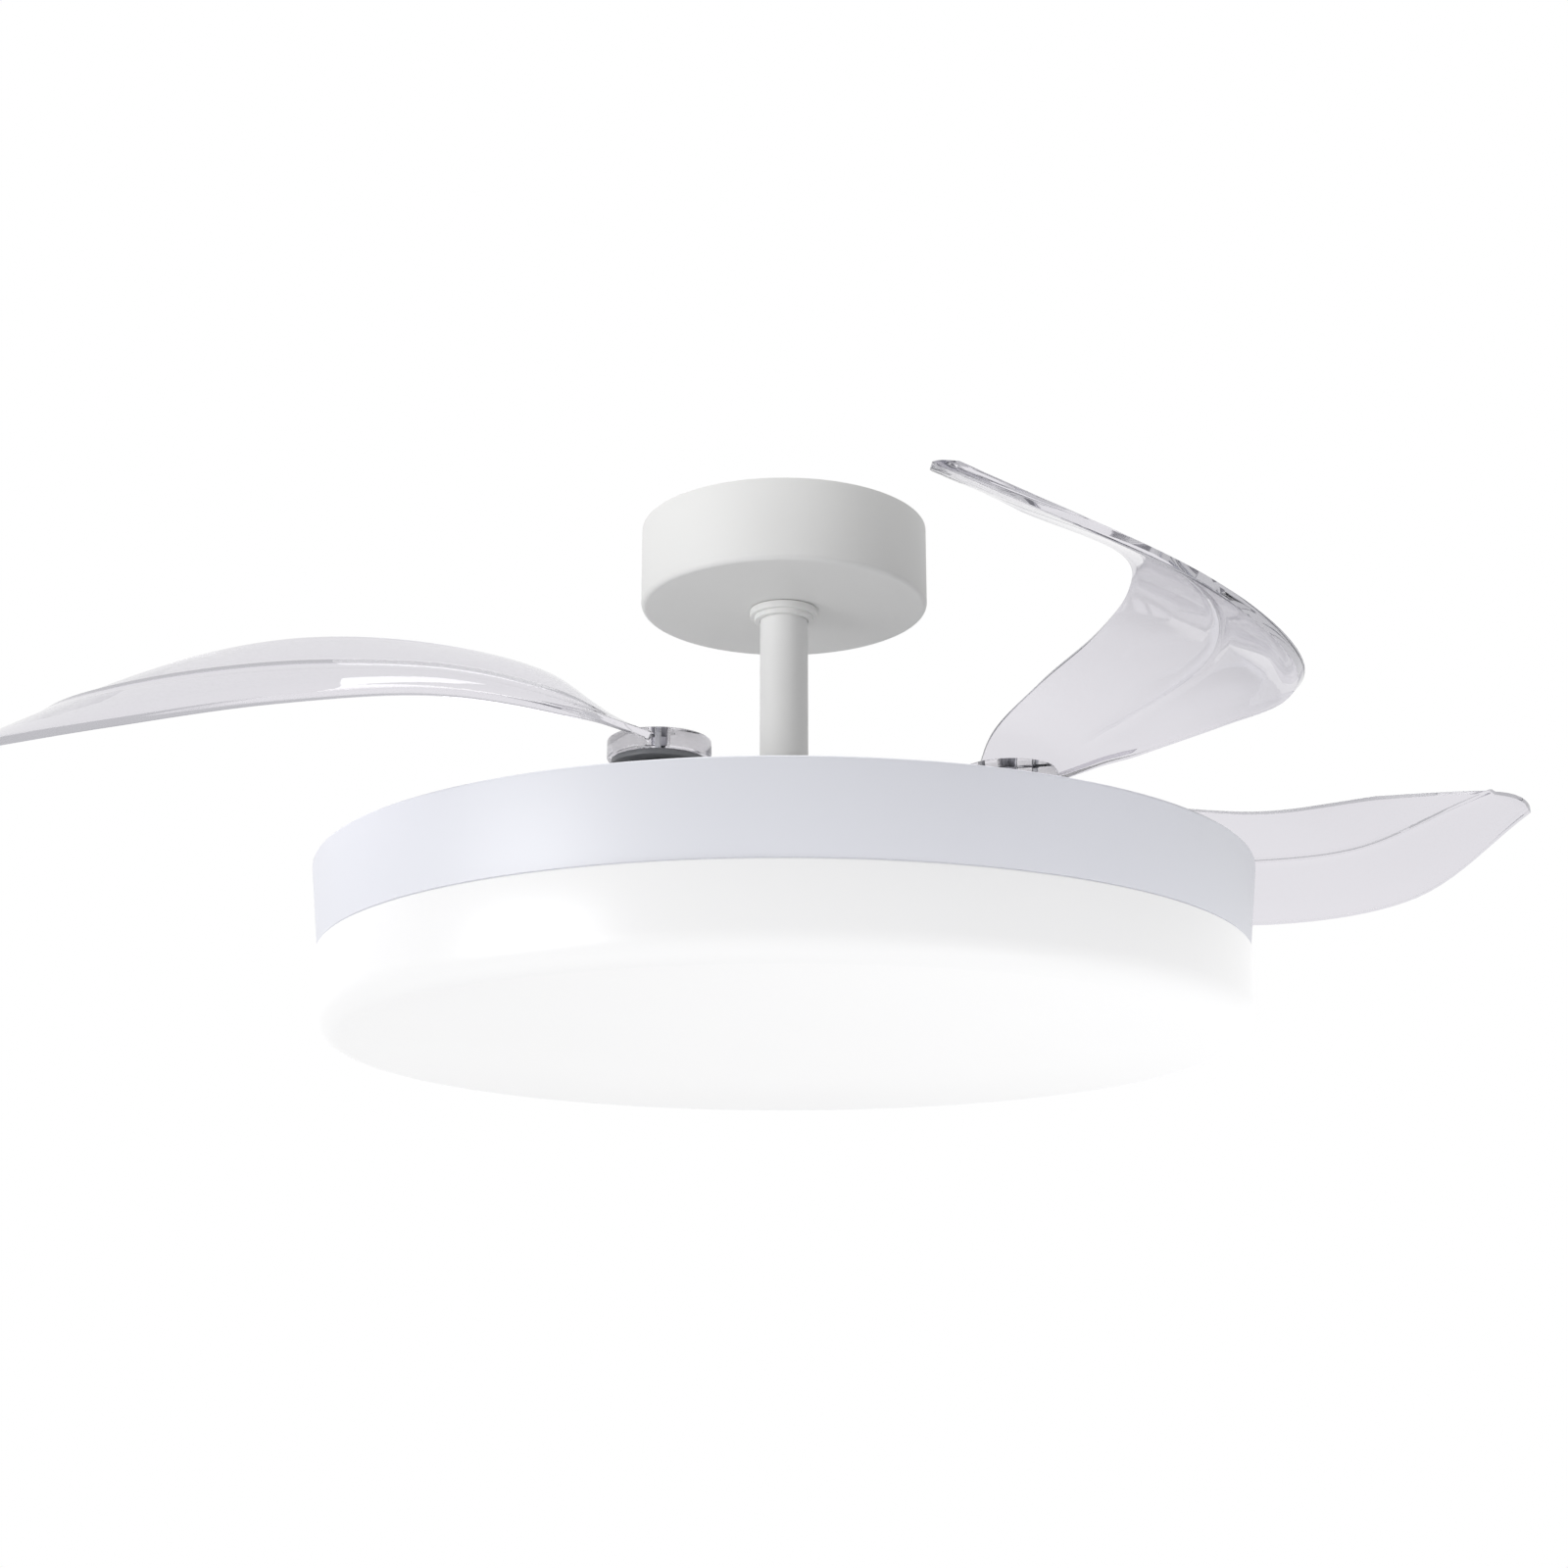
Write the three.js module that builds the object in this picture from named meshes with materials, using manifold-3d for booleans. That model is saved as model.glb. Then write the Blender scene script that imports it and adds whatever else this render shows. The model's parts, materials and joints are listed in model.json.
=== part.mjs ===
// A ceiling fan with a drum light and four clear blades that swing in over the drum when it stops.
// Millimetres, +Z up. The origin is on the ceiling, on the fan's axis, and the fan hangs towards -Z.
// The blades stand open, as they do while the fan turns.
import * as THREE from 'three';
import { mergeVertices } from 'three/addons/utils/BufferGeometryUtils.js';
import Module from 'manifold-3d';

const wasm = await Module();
wasm.setup();

// ---- Driving dimensions ----
const CLEAR = 0.3; // gap left between two pieces that seat on each other
const RUN = 0.3; // gap round a shaft that turns in a bore
const JOINED = 1; // how far shapes that are joined or cut reach past each other

// Sides of the round pieces
const DRUM_SIDES = 48;
const CANOPY_SIDES = 44;
const PLATE_SIDES = 40;
const MOTOR_SIDES = 32;
const COLLAR_SIDES = 28;
const SMALL_SIDES = 20;
const HOLE_SIDES = 12;
const BAR_SIDES = 8;

// Ceiling bracket, ball and canopy
const BRACKET_LENGTH = 100;
const BRACKET_WIDTH = 46;
const BRACKET_SPAN = 66; // over the two legs
const BRACKET_DEPTH = 34;
const SHEET = 2.5; // steel sheet of the bracket
const BRACKET_HOLE = 3; // radius of its ceiling screw holes
const BRACKET_HOLE_IN = 9; // from the bracket's end to a hole's middle
const BALL_RADIUS = 21;
const BALL_SEAT = 19; // radius of the hole that the ball sits in
const BALL_ABOVE = 9; // from the ball's centre up to its flat top
const BALL_BELOW = 14;
const CANOPY_RADIUS = 79.6;
const CANOPY_HEIGHT = 46;
const CANOPY_WALL = 1.5;
const CANOPY_ROUND = 3;
const CANOPY_AIR = 0.5; // from the ceiling to the canopy's rim
const COLLAR_RADIUS = 19;
const COLLAR_STEP = 2.5; // how far the lower step is set in
const COLLAR_HEIGHT = 6.5;
const COLLAR_STEP_HEIGHT = 2.5;
const GRUB_RADIUS = 1.5;
const RECEIVER = [62, 28, 20];
const RECEIVER_ROUND = 3;
const TERMINAL = [24, 12, 12];
const TERMINAL_ROUND = 1.5;

// Down rod, coupling and the hollow shaft
const ROD_RADIUS = 13.3;
const ROD_WALL = 2.5;
const ROD_ABOVE_BALL = 2;
const ROD_DROP = 157; // from the canopy's underside to the drum's top
const PIN_RADIUS = 2.5;
const PIN_SHORT = 2; // how far the hanger pin's ends stay inside the ball
const COUPLING_WALL = 4.4;
const ROD_SOCKET = 18; // depth of the coupling's upper socket
const ROD_PIN_DOWN = 6; // from the coupling's upper end down to its pin
const SHAFT_SOCKET = 12;
const COUPLING_RISE = 38; // from the drum's top to the coupling's lower end
const SHAFT_RADIUS = 8.5;
const SHAFT_BORE = 5.5;
const SHAFT_SHOULDER = 12;
const SHAFT_TAIL = 15; // below the drum's top
const NUT_RADIUS = 14;
const NUT_HEIGHT = 7;
const LEAD_RADIUS = 2.5;

// Motor
const BEARING_RADIUS = 16;
const BEARING_WIDTH = 8;
const CUP_WALL = 3;
const MOTOR_RADIUS = 74;
const MOTOR_WALL = 2.5;
const MOTOR_BOTTOM = 6; // heights above the drum's top
const MOTOR_SPLIT = 22;
const MOTOR_TOP = 36.5;
const MOTOR_ROUND = 3;
const MOTOR_FLANGE = 8;
const MAGNET_THICKNESS = 6;
const MAGNET_HEIGHT = 18;
const AIR_GAP = 1.5;
const STATOR_HEIGHT = 10;
const STATOR_TEETH = 12;
const STATOR_YOKE = 30;
const WINDING_HEIGHT = 4;
const WINDING_INSET = 9; // from the stator's rim to the winding's
const WINDING_OVER = 3; // of the yoke that stays bare outside the winding's ring
const WINDING_RING = 9;

// Blade carrier, gears and pivots
const BLADES = 4;
const MODULE_MM = 4;
const SYNC_TEETH = 48;
const BLADE_TEETH = 18;
const SECTOR_TEETH = 7; // teeth cut on each blade's gear
const GEAR_HEIGHT = 8;
const BACKLASH = 0.5;
const TOOTH_TIP = 0.85; // in modules, past the pitch circle
const TOOTH_ROOT = 1.15;
const HEEL_RADIUS = 18; // of a blade's gear where it has no teeth
const PRESSURE_ANGLE = 20;
const PIVOT_ANGLE = -28; // of the first blade's pivot, from +X
const CARRIER_MARGIN = 31; // plate outside the pivots
const CARRIER_THICKNESS = 3;
const CARRIER_WINDOW = 22; // radius of the lightening holes
const COVER_THICKNESS = 2;
const COVER_HEIGHT = 13.3;
const NECK_RADIUS = 15;
const BUSH_RADIUS = 24;
const BUSH_THICKNESS = 3;
const PIVOT_RADIUS = 4;
const PIVOT_HEAD = 7;
const PIVOT_HEAD_HEIGHT = 3;
const RIVET_RADIUS = 6;
const RIVET_HEIGHT = 2;
const SCREW_RADIUS = 1.5;
const SCREW_HEAD = 2.8;
const SCREW_HEAD_HEIGHT = 1.6;
const SCREW_OFFSET = 11;
const SCREW_DEPTH = 22;
const SPRING_TURNS = 4;
const SPRING_SIDES = 14; // to a turn
const SPRING_START = 3; // from the motor's can to the first turn
const SPRING_PITCH = 2.6;
const SPRING_THICKNESS = 0.9;
const SPRING_HEIGHT = 1.7;

// Clear blades. Edge points are [x, y, rise] from the pivot, the rise from the root disc's middle,
// for the first blade as it stands open, with the root towards +Y and the tip towards -Y.
const ROOT_RISE = 36; // from the drum's top to the root disc's underside
const ROOT_RADIUS = 26;
const ROOT_HEIGHT = 10;
const BLADE_THICKNESS = 2.6;
const BEAD_THICKNESS = 4.2; // along the outer edge
const BLADE_CAMBER = 4;
const TIP_BULGE = 26; // how far the rounded end stands past the straight line between its corners
const INNER_EDGE = [
  [-17, 6, 1], [-10, -24, 18], [11, -53, 35], [33, -105, 43], [41, -168, 44], [29, -228, 38], [-20, -286, 34],
];
const OUTER_EDGE = [
  [17, 6, 0], [34, -12, 1], [60, -42, 3], [94, -98, 2], [110, -168, -7], [96, -248, -14],
  [46, -322, -9], [-52, -366, 20],
];
const BEAD_START = 0.8; // where the bead begins, as a share of the way across

// Drum light
const DRUM_RADIUS = 250;
const DRUM_TAPER = 4.7; // how much smaller the ring's lower edge is, in radius
const DRUM_HEIGHT = 45;
const DRUM_WALL = 1.5;
const DRUM_LIP = 14;
const LIP_THICKNESS = 2;
const LIP_ROUND = 1.5;
const PAN_THICKNESS = 1.5;
const PAN_SKIRT = 26;
const PAN_MARGIN = 4; // between the pan's skirt and the ring
const TRAY_DEPTH = 25;
const TRAY_MARGIN = 6;
const TRAY_HOLE = 30;
const BOARD_THICKNESS = 1.6;
const BOARD_MARGIN = 29; // from the board to the tray's rim
const BOARD_HOLE = 45;
const LED_SIZE = 6;
const LED_HEIGHT = 1.2;
const LED_ROWS = [[0.44, 8], [0.8, 14]]; // share of the board's radius, and count
const DRIVER = [110, 34, 19];
const DRIVER_IN = 60; // from the fan's axis to the driver's inner end
const DRIVER_ROUND = 3;
const DIFFUSER_NECK_GAP = 0.8; // from the ring's lower edge in to the diffuser's neck
const DIFFUSER_NECK_HEIGHT = 6;
const DIFFUSER_SWELL = 0.7; // how far the diffuser stands out past the ring's lower edge
const DIFFUSER_DEPTH = 45;
const DIFFUSER_ROUND = 14;
const DIFFUSER_WALL = 2;
const DIFFUSER_SAG = 1.5;
const CLIPS = 3;
const CLIP_SIZE = [2.4, 14, 13];

// ---- Levels worked out from the dimensions ----
const canopyBottom = -(CANOPY_AIR + CANOPY_HEIGHT);
const drumTop = canopyBottom - ROD_DROP;
const ballZ = -BRACKET_DEPTH + SHEET + Math.sqrt((BALL_RADIUS + CLEAR) ** 2 - BALL_SEAT ** 2);
const rodTop = ballZ + BALL_ABOVE + ROD_ABOVE_BALL;
const couplingBottom = drumTop + COUPLING_RISE;
const couplingStep = couplingBottom + SHAFT_SOCKET;
const couplingRadius = ROD_RADIUS + CLEAR + COUPLING_WALL;
const bearingBore = SHAFT_RADIUS + RUN;
const carrierZ = drumTop + MOTOR_BOTTOM + MOTOR_WALL;
const gearZ = carrierZ + CARRIER_THICKNESS + CLEAR;
const pivotDistance = (MODULE_MM * (SYNC_TEETH + BLADE_TEETH)) / 2;
const carrierRadius = pivotDistance + CARRIER_MARGIN;
const rootZ = drumTop + ROOT_RISE;
const neckTop = rootZ - BUSH_THICKNESS - 2 * CLEAR;
const rootTop = rootZ + ROOT_HEIGHT;
const panTop = drumTop - LIP_THICKNESS - CLEAR;
const panBottom = panTop - PAN_THICKNESS;
const trayBottom = panBottom - CLEAR - TRAY_DEPTH;
const drumBottom = drumTop - DRUM_HEIGHT;
const ringFoot = DRUM_RADIUS - DRUM_TAPER;
const panRadius = ringFoot - DRUM_WALL - PAN_MARGIN;
const trayRadius = panRadius - TRAY_MARGIN;
const neckRadius = ringFoot - DRUM_WALL - DIFFUSER_NECK_GAP;
const bowlRadius = ringFoot + DIFFUSER_SWELL;

// ---- Shape helpers ----

// Merges shared corners, drops slivers with no area and turns the faces outwards.
function tidy(geometry) {
  geometry.deleteAttribute('normal');
  geometry.deleteAttribute('uv');
  const merged = mergeVertices(geometry, 1e-4);
  const at = merged.getAttribute('position');
  const index = merged.getIndex().array;
  const kept = [];
  let volume = 0;
  const [a, b, c] = [new THREE.Vector3(), new THREE.Vector3(), new THREE.Vector3()];
  for (let i = 0; i < index.length; i += 3) {
    const [p, q, r] = [index[i], index[i + 1], index[i + 2]];
    if (p === q || q === r || r === p) continue;
    kept.push(p, q, r);
    a.fromBufferAttribute(at, p);
    b.fromBufferAttribute(at, q);
    c.fromBufferAttribute(at, r);
    volume += a.dot(b.cross(c));
  }
  if (volume < 0) {
    for (let i = 0; i < kept.length; i += 3) {
      [kept[i + 1], kept[i + 2]] = [kept[i + 2], kept[i + 1]];
    }
  }
  merged.setIndex(kept);
  return merged;
}

function solid(geometry) {
  const body = tidy(geometry);
  const vertProperties = new Float32Array(body.getAttribute('position').array);
  const triVerts = new Uint32Array(body.getIndex().array);
  return new wasm.Manifold(new wasm.Mesh({ numProp: 3, vertProperties, triVerts }));
}

function surface(body) {
  const mesh = body.getMesh();
  const geometry = new THREE.BufferGeometry();
  geometry.setAttribute('position', new THREE.BufferAttribute(mesh.vertProperties, 3));
  geometry.setIndex(new THREE.BufferAttribute(mesh.triVerts, 1));
  return geometry;
}

// A profile of [radius, z] points, closed on itself, turned about the Z axis.
function turned(profile, segments) {
  const points = [...profile, profile[0]].map(([r, z]) => new THREE.Vector2(r, z));
  const geometry = new THREE.LatheGeometry(points, segments);
  geometry.rotateX(Math.PI / 2);
  return geometry;
}

function tube(inner, outer, low, high, segments = SMALL_SIDES) {
  return turned([[inner, low], [outer, low], [outer, high], [inner, high]], segments);
}

function rod(radius, low, high, segments = HOLE_SIDES) {
  const geometry = new THREE.CylinderGeometry(radius, radius, high - low, segments);
  geometry.rotateX(Math.PI / 2);
  geometry.translate(0, 0, (low + high) / 2);
  return geometry;
}

// A round bar across the fan's axis, along X.
function crossBar(radius, length, z, segments = BAR_SIDES) {
  const geometry = new THREE.CylinderGeometry(radius, radius, length, segments);
  geometry.rotateZ(Math.PI / 2);
  geometry.translate(0, 0, z);
  return geometry;
}

function block(width, depth, height, x, y, z) {
  const geometry = new THREE.BoxGeometry(width, depth, height);
  geometry.translate(x, y, z);
  return geometry;
}

function raised(shape, low, high, curveSegments = 12) {
  const depth = high - low;
  const geometry = new THREE.ExtrudeGeometry(shape, { depth, bevelEnabled: false, curveSegments });
  geometry.translate(0, 0, low);
  return geometry;
}

// Points of a quarter round from one direction to another, about [radius, z].
function quarter(centre, size, fromDegrees, toDegrees, steps = 4) {
  const points = [];
  for (let i = 0; i <= steps; i += 1) {
    const angle = THREE.MathUtils.degToRad(fromDegrees + ((toDegrees - fromDegrees) * i) / steps);
    points.push([centre[0] + size * Math.cos(angle), centre[1] + size * Math.sin(angle)]);
  }
  return points;
}

function roundedBox([width, depth, height], corner, x, y, low) {
  const shape = new THREE.Shape();
  const [w, d] = [width / 2 - corner, depth / 2 - corner];
  shape.absarc(w, d, corner, 0, Math.PI / 2);
  shape.absarc(-w, d, corner, Math.PI / 2, Math.PI);
  shape.absarc(-w, -d, corner, Math.PI, 1.5 * Math.PI);
  shape.absarc(w, -d, corner, 1.5 * Math.PI, 2 * Math.PI);
  const geometry = raised(shape, low, low + height, 2);
  geometry.translate(x, y, 0);
  return geometry;
}

// The corner radius of a faceted hole whose flats still clear a round of the given radius.
function clearing(radius, sides) {
  return radius / Math.cos(Math.PI / sides);
}

// The place of pivot k, on the circle of pivots.
function pivotPlace(k) {
  const angle = THREE.MathUtils.degToRad(PIVOT_ANGLE + (360 * k) / BLADES);
  return [pivotDistance * Math.cos(angle), pivotDistance * Math.sin(angle)];
}

// ---- Ceiling fixing ----

function ceilingBracket() {
  const legTop = -SHEET;
  const legX = (BRACKET_SPAN - SHEET) / 2;
  const legHeight = BRACKET_DEPTH - SHEET;
  let body = solid(block(BRACKET_LENGTH, BRACKET_WIDTH, SHEET, 0, 0, -SHEET / 2));
  for (const side of [-1, 1]) {
    const leg = block(SHEET, BRACKET_WIDTH, legHeight, side * legX, 0, legTop - legHeight / 2);
    const hole = rod(BRACKET_HOLE, -2 * SHEET, SHEET);
    hole.translate(side * (BRACKET_LENGTH / 2 - BRACKET_HOLE_IN), 0, 0);
    body = body.add(solid(leg)).subtract(solid(hole));
  }
  const seat = block(BRACKET_SPAN, BRACKET_WIDTH, SHEET, 0, 0, -BRACKET_DEPTH + SHEET / 2);
  const hole = rod(BALL_SEAT, -BRACKET_DEPTH - SHEET, -BRACKET_DEPTH + 2 * SHEET, SMALL_SIDES);
  return surface(body.add(solid(seat)).subtract(solid(hole)));
}

function hangerBall() {
  const bore = ROD_RADIUS + CLEAR;
  const low = -THREE.MathUtils.radToDeg(Math.asin(BALL_BELOW / BALL_RADIUS));
  const high = THREE.MathUtils.radToDeg(Math.asin(BALL_ABOVE / BALL_RADIUS));
  const round = quarter([0, ballZ], BALL_RADIUS, low, high, 4);
  const ball = turned([[bore, ballZ - BALL_BELOW], ...round, [bore, ballZ + BALL_ABOVE]], SMALL_SIDES);
  return surface(solid(ball).subtract(solid(crossBar(PIN_RADIUS + CLEAR, 3 * BALL_RADIUS, ballZ))));
}

function canopy() {
  const inner = CANOPY_RADIUS - CANOPY_WALL;
  const bore = ROD_RADIUS + 2 * CLEAR;
  const turn = [CANOPY_RADIUS - CANOPY_ROUND, canopyBottom + CANOPY_ROUND];
  return turned([
    [CANOPY_RADIUS, -CANOPY_AIR],
    ...quarter(turn, CANOPY_ROUND, 0, -90, 2),
    [bore, canopyBottom],
    [bore, canopyBottom + CANOPY_WALL],
    [turn[0], canopyBottom + CANOPY_WALL],
    [inner, turn[1]],
    [inner, -CANOPY_AIR],
  ], CANOPY_SIDES);
}

function canopyCollar() {
  const top = canopyBottom - CLEAR;
  const bore = ROD_RADIUS + CLEAR;
  const bottom = top - COLLAR_HEIGHT;
  const step = bottom + COLLAR_STEP_HEIGHT;
  const ring = turned([
    [bore, bottom], [COLLAR_RADIUS - COLLAR_STEP, bottom], [COLLAR_RADIUS - COLLAR_STEP, step],
    [COLLAR_RADIUS, step], [COLLAR_RADIUS, top], [bore, top],
  ], COLLAR_SIDES);
  return surface(solid(ring).subtract(solid(grubScrew(GRUB_RADIUS + CLEAR, COLLAR_RADIUS))));
}

// The grub screw lies along +Y, behind the rod, and presses on it.
function grubScrew(radius = GRUB_RADIUS, length = COLLAR_RADIUS - ROD_RADIUS - 2 * CLEAR) {
  const geometry = new THREE.CylinderGeometry(radius, radius, length, BAR_SIDES);
  const z = canopyBottom - CLEAR - (COLLAR_HEIGHT - COLLAR_STEP_HEIGHT) / 2;
  geometry.translate(0, ROD_RADIUS + CLEAR + length / 2, z);
  return geometry;
}

function receiverBox() {
  const y = BRACKET_WIDTH / 2 + CLEAR + RECEIVER[1] / 2;
  return roundedBox(RECEIVER, RECEIVER_ROUND, 0, y, -SHEET - RECEIVER[2]);
}

function terminalBlock() {
  const y = -(BRACKET_WIDTH / 2 + CLEAR + TERMINAL[1] / 2);
  return roundedBox(TERMINAL, TERMINAL_ROUND, 0, y, -SHEET - TERMINAL[2]);
}

// ---- Rod, coupling and shaft ----

function downrod() {
  const bottom = couplingStep + CLEAR;
  const pipe = solid(tube(ROD_RADIUS - ROD_WALL, ROD_RADIUS, bottom, rodTop));
  const upper = solid(crossBar(PIN_RADIUS + CLEAR, 3 * ROD_RADIUS, ballZ));
  const lower = solid(crossBar(PIN_RADIUS + CLEAR, 3 * ROD_RADIUS, rodPinZ()));
  return surface(pipe.subtract(upper).subtract(lower));
}

function rodPinZ() {
  return couplingStep + ROD_SOCKET - ROD_PIN_DOWN;
}

function shaftPinZ() {
  return couplingBottom + SHAFT_SOCKET / 2;
}

function rodCoupling() {
  const top = couplingStep + ROD_SOCKET;
  const body = solid(turned([
    [SHAFT_RADIUS + CLEAR, couplingBottom], [couplingRadius, couplingBottom], [couplingRadius, top],
    [ROD_RADIUS + CLEAR, top], [ROD_RADIUS + CLEAR, couplingStep], [SHAFT_RADIUS + CLEAR, couplingStep],
  ], SMALL_SIDES));
  const upper = solid(crossBar(PIN_RADIUS + CLEAR, 3 * couplingRadius, rodPinZ()));
  const lower = solid(crossBar(PIN_RADIUS + CLEAR, 3 * couplingRadius, shaftPinZ()));
  return surface(body.subtract(upper).subtract(lower));
}

function statorShaft() {
  const top = couplingStep - CLEAR;
  const shoulderTop = drumTop + MOTOR_BOTTOM - CLEAR;
  const body = solid(turned([
    [SHAFT_BORE, drumTop - SHAFT_TAIL], [SHAFT_RADIUS, drumTop - SHAFT_TAIL],
    [SHAFT_RADIUS, panTop + CLEAR], [SHAFT_SHOULDER, panTop + CLEAR], [SHAFT_SHOULDER, shoulderTop],
    [SHAFT_RADIUS, shoulderTop], [SHAFT_RADIUS, top], [SHAFT_BORE, top],
  ], SMALL_SIDES));
  return surface(body.subtract(solid(crossBar(PIN_RADIUS + CLEAR, 3 * SHAFT_RADIUS, shaftPinZ()))));
}

// A short pin from outside into the shaft's wall, clear of the lead in its bore.
function shaftPin() {
  const length = couplingRadius - SHAFT_BORE - CLEAR;
  const pin = crossBar(PIN_RADIUS, length, shaftPinZ());
  pin.translate(SHAFT_BORE + CLEAR + length / 2, 0, 0);
  return pin;
}

function shaftNut() {
  const top = panBottom - CLEAR;
  const shape = new THREE.Shape();
  for (let i = 0; i < 6; i += 1) {
    const angle = (Math.PI * i) / 3;
    const [x, y] = [NUT_RADIUS * Math.cos(angle), NUT_RADIUS * Math.sin(angle)];
    if (i === 0) shape.moveTo(x, y);
    else shape.lineTo(x, y);
  }
  shape.closePath();
  shape.holes.push(boreHole(SHAFT_RADIUS + 2 * CLEAR));
  return raised(shape, top - NUT_HEIGHT, top, HOLE_SIDES / 2);
}

// The lead runs from the receiver down the rod and the shaft to the light's driver.
function lead() {
  const beside = PIN_RADIUS + LEAD_RADIUS + 2 * CLEAR;
  const start = BRACKET_WIDTH / 2;
  const driverLeft = DRIVER_IN - CLEAR;
  const overRod = rodTop + LEAD_RADIUS + 1;
  const tail = drumTop - SHAFT_TAIL;
  const route = [
    [0, start, overRod], [0, start - 6, overRod], [0, beside + 4, overRod - 0.5],
    [0, beside, rodTop - 5], [0, beside, ballZ - 12], [0, beside, rodPinZ() + 14],
    [0, beside, rodPinZ() - PIN_RADIUS - 2], [0, SHAFT_BORE - LEAD_RADIUS - 1, couplingStep + 1],
    [0, 0, couplingStep - 22],
    [0, 0, tail + 10], [1, 0, tail - 1], [14, 0, tail - 6], [driverLeft - 8, 0, tail + 1],
    [driverLeft, 0, tail + 1],
  ];
  const path = new THREE.CatmullRomCurve3(route.map((p) => new THREE.Vector3(...p)));
  const section = new THREE.Shape();
  section.absarc(0, 0, LEAD_RADIUS, 0, 2 * Math.PI);
  return new THREE.ExtrudeGeometry(section, {
    steps: 38, extrudePath: path, curveSegments: 4, bevelEnabled: false,
  });
}

// ---- Motor ----

function bearing(low) {
  return tube(bearingBore, BEARING_RADIUS, low, low + BEARING_WIDTH);
}

function rotorBase() {
  const low = drumTop + MOTOR_BOTTOM;
  const high = drumTop + MOTOR_SPLIT - CLEAR;
  const cup = BEARING_RADIUS + CLEAR;
  const flange = MOTOR_RADIUS + MOTOR_FLANGE;
  return turned([
    [SHAFT_SHOULDER + RUN, low], [flange, low], [flange, low + MOTOR_WALL - CLEAR],
    [MOTOR_RADIUS, low + MOTOR_WALL - CLEAR], [MOTOR_RADIUS, high], [MOTOR_RADIUS - MOTOR_WALL, high],
    [MOTOR_RADIUS - MOTOR_WALL, low + MOTOR_WALL], [cup + CUP_WALL, low + MOTOR_WALL],
    [cup + CUP_WALL, low + BEARING_WIDTH], [cup, low + BEARING_WIDTH],
    [cup, low + CUP_WALL / 2], [SHAFT_SHOULDER + RUN, low + CUP_WALL / 2],
  ], MOTOR_SIDES);
}

function rotorCover() {
  const low = drumTop + MOTOR_SPLIT;
  const high = drumTop + MOTOR_TOP;
  const cup = BEARING_RADIUS + CLEAR;
  return turned([
    [MOTOR_RADIUS, low],
    ...quarter([MOTOR_RADIUS - MOTOR_ROUND, high - MOTOR_ROUND], MOTOR_ROUND, 0, 90, 2),
    [SHAFT_RADIUS + 2 * RUN, high], [SHAFT_RADIUS + 2 * RUN, high - CUP_WALL / 2],
    [cup, high - CUP_WALL / 2], [cup, high - BEARING_WIDTH], [cup + CUP_WALL, high - BEARING_WIDTH],
    [cup + CUP_WALL, high - MOTOR_WALL], [MOTOR_RADIUS - MOTOR_WALL, high - MOTOR_WALL],
    [MOTOR_RADIUS - MOTOR_WALL, low],
  ], MOTOR_SIDES);
}

function magnetRing() {
  const outer = MOTOR_RADIUS - MOTOR_WALL - CLEAR;
  const low = drumTop + MOTOR_BOTTOM + MOTOR_WALL + CLEAR;
  return tube(outer - MAGNET_THICKNESS, outer, low, low + MAGNET_HEIGHT, MOTOR_SIDES);
}

function statorRadius() {
  return MOTOR_RADIUS - MOTOR_WALL - CLEAR - MAGNET_THICKNESS - AIR_GAP;
}

function statorLow() {
  return drumTop + MOTOR_BOTTOM + CUP_WALL / 2 + BEARING_WIDTH + 2 * CLEAR;
}

// An outline of teeth round a yoke, each tooth spreading at its tip.
function toothedOutline(yoke, tip, teeth, narrow, wide) {
  const shape = new THREE.Shape();
  const step = (2 * Math.PI) / teeth;
  const shoulder = tip - (tip - yoke) * 0.15;
  for (let i = 0; i < teeth; i += 1) {
    const middle = i * step;
    const corners = [
      [yoke, -narrow], [shoulder, -narrow * (yoke / shoulder)], [tip, -wide],
      [tip, wide], [shoulder, narrow * (yoke / shoulder)], [yoke, narrow],
    ];
    corners.forEach(([radius, turn], j) => {
      const angle = middle + turn * step;
      const [x, y] = [radius * Math.cos(angle), radius * Math.sin(angle)];
      if (i + j === 0) shape.moveTo(x, y);
      else shape.lineTo(x, y);
    });
  }
  shape.closePath();
  return shape;
}

function boreHole(radius) {
  const hole = new THREE.Path();
  hole.absarc(0, 0, radius, 0, 2 * Math.PI, true);
  return hole;
}

function statorCore() {
  const shape = toothedOutline(STATOR_YOKE, statorRadius(), STATOR_TEETH, 0.22, 0.42);
  shape.holes.push(boreHole(SHAFT_RADIUS + CLEAR));
  return raised(shape, statorLow(), statorLow() + STATOR_HEIGHT, SMALL_SIDES / 2);
}

// The copper on the teeth's upper ends: one lobe over each tooth.
function statorWinding() {
  const low = statorLow() + STATOR_HEIGHT + CLEAR;
  const foot = STATOR_YOKE + WINDING_OVER;
  const shape = toothedOutline(foot, statorRadius() - WINDING_INSET, STATOR_TEETH, 0.34, 0.36);
  shape.holes.push(boreHole(foot - WINDING_RING));
  return raised(shape, low, low + WINDING_HEIGHT, SMALL_SIDES / 2);
}

// ---- Gears ----

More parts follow.
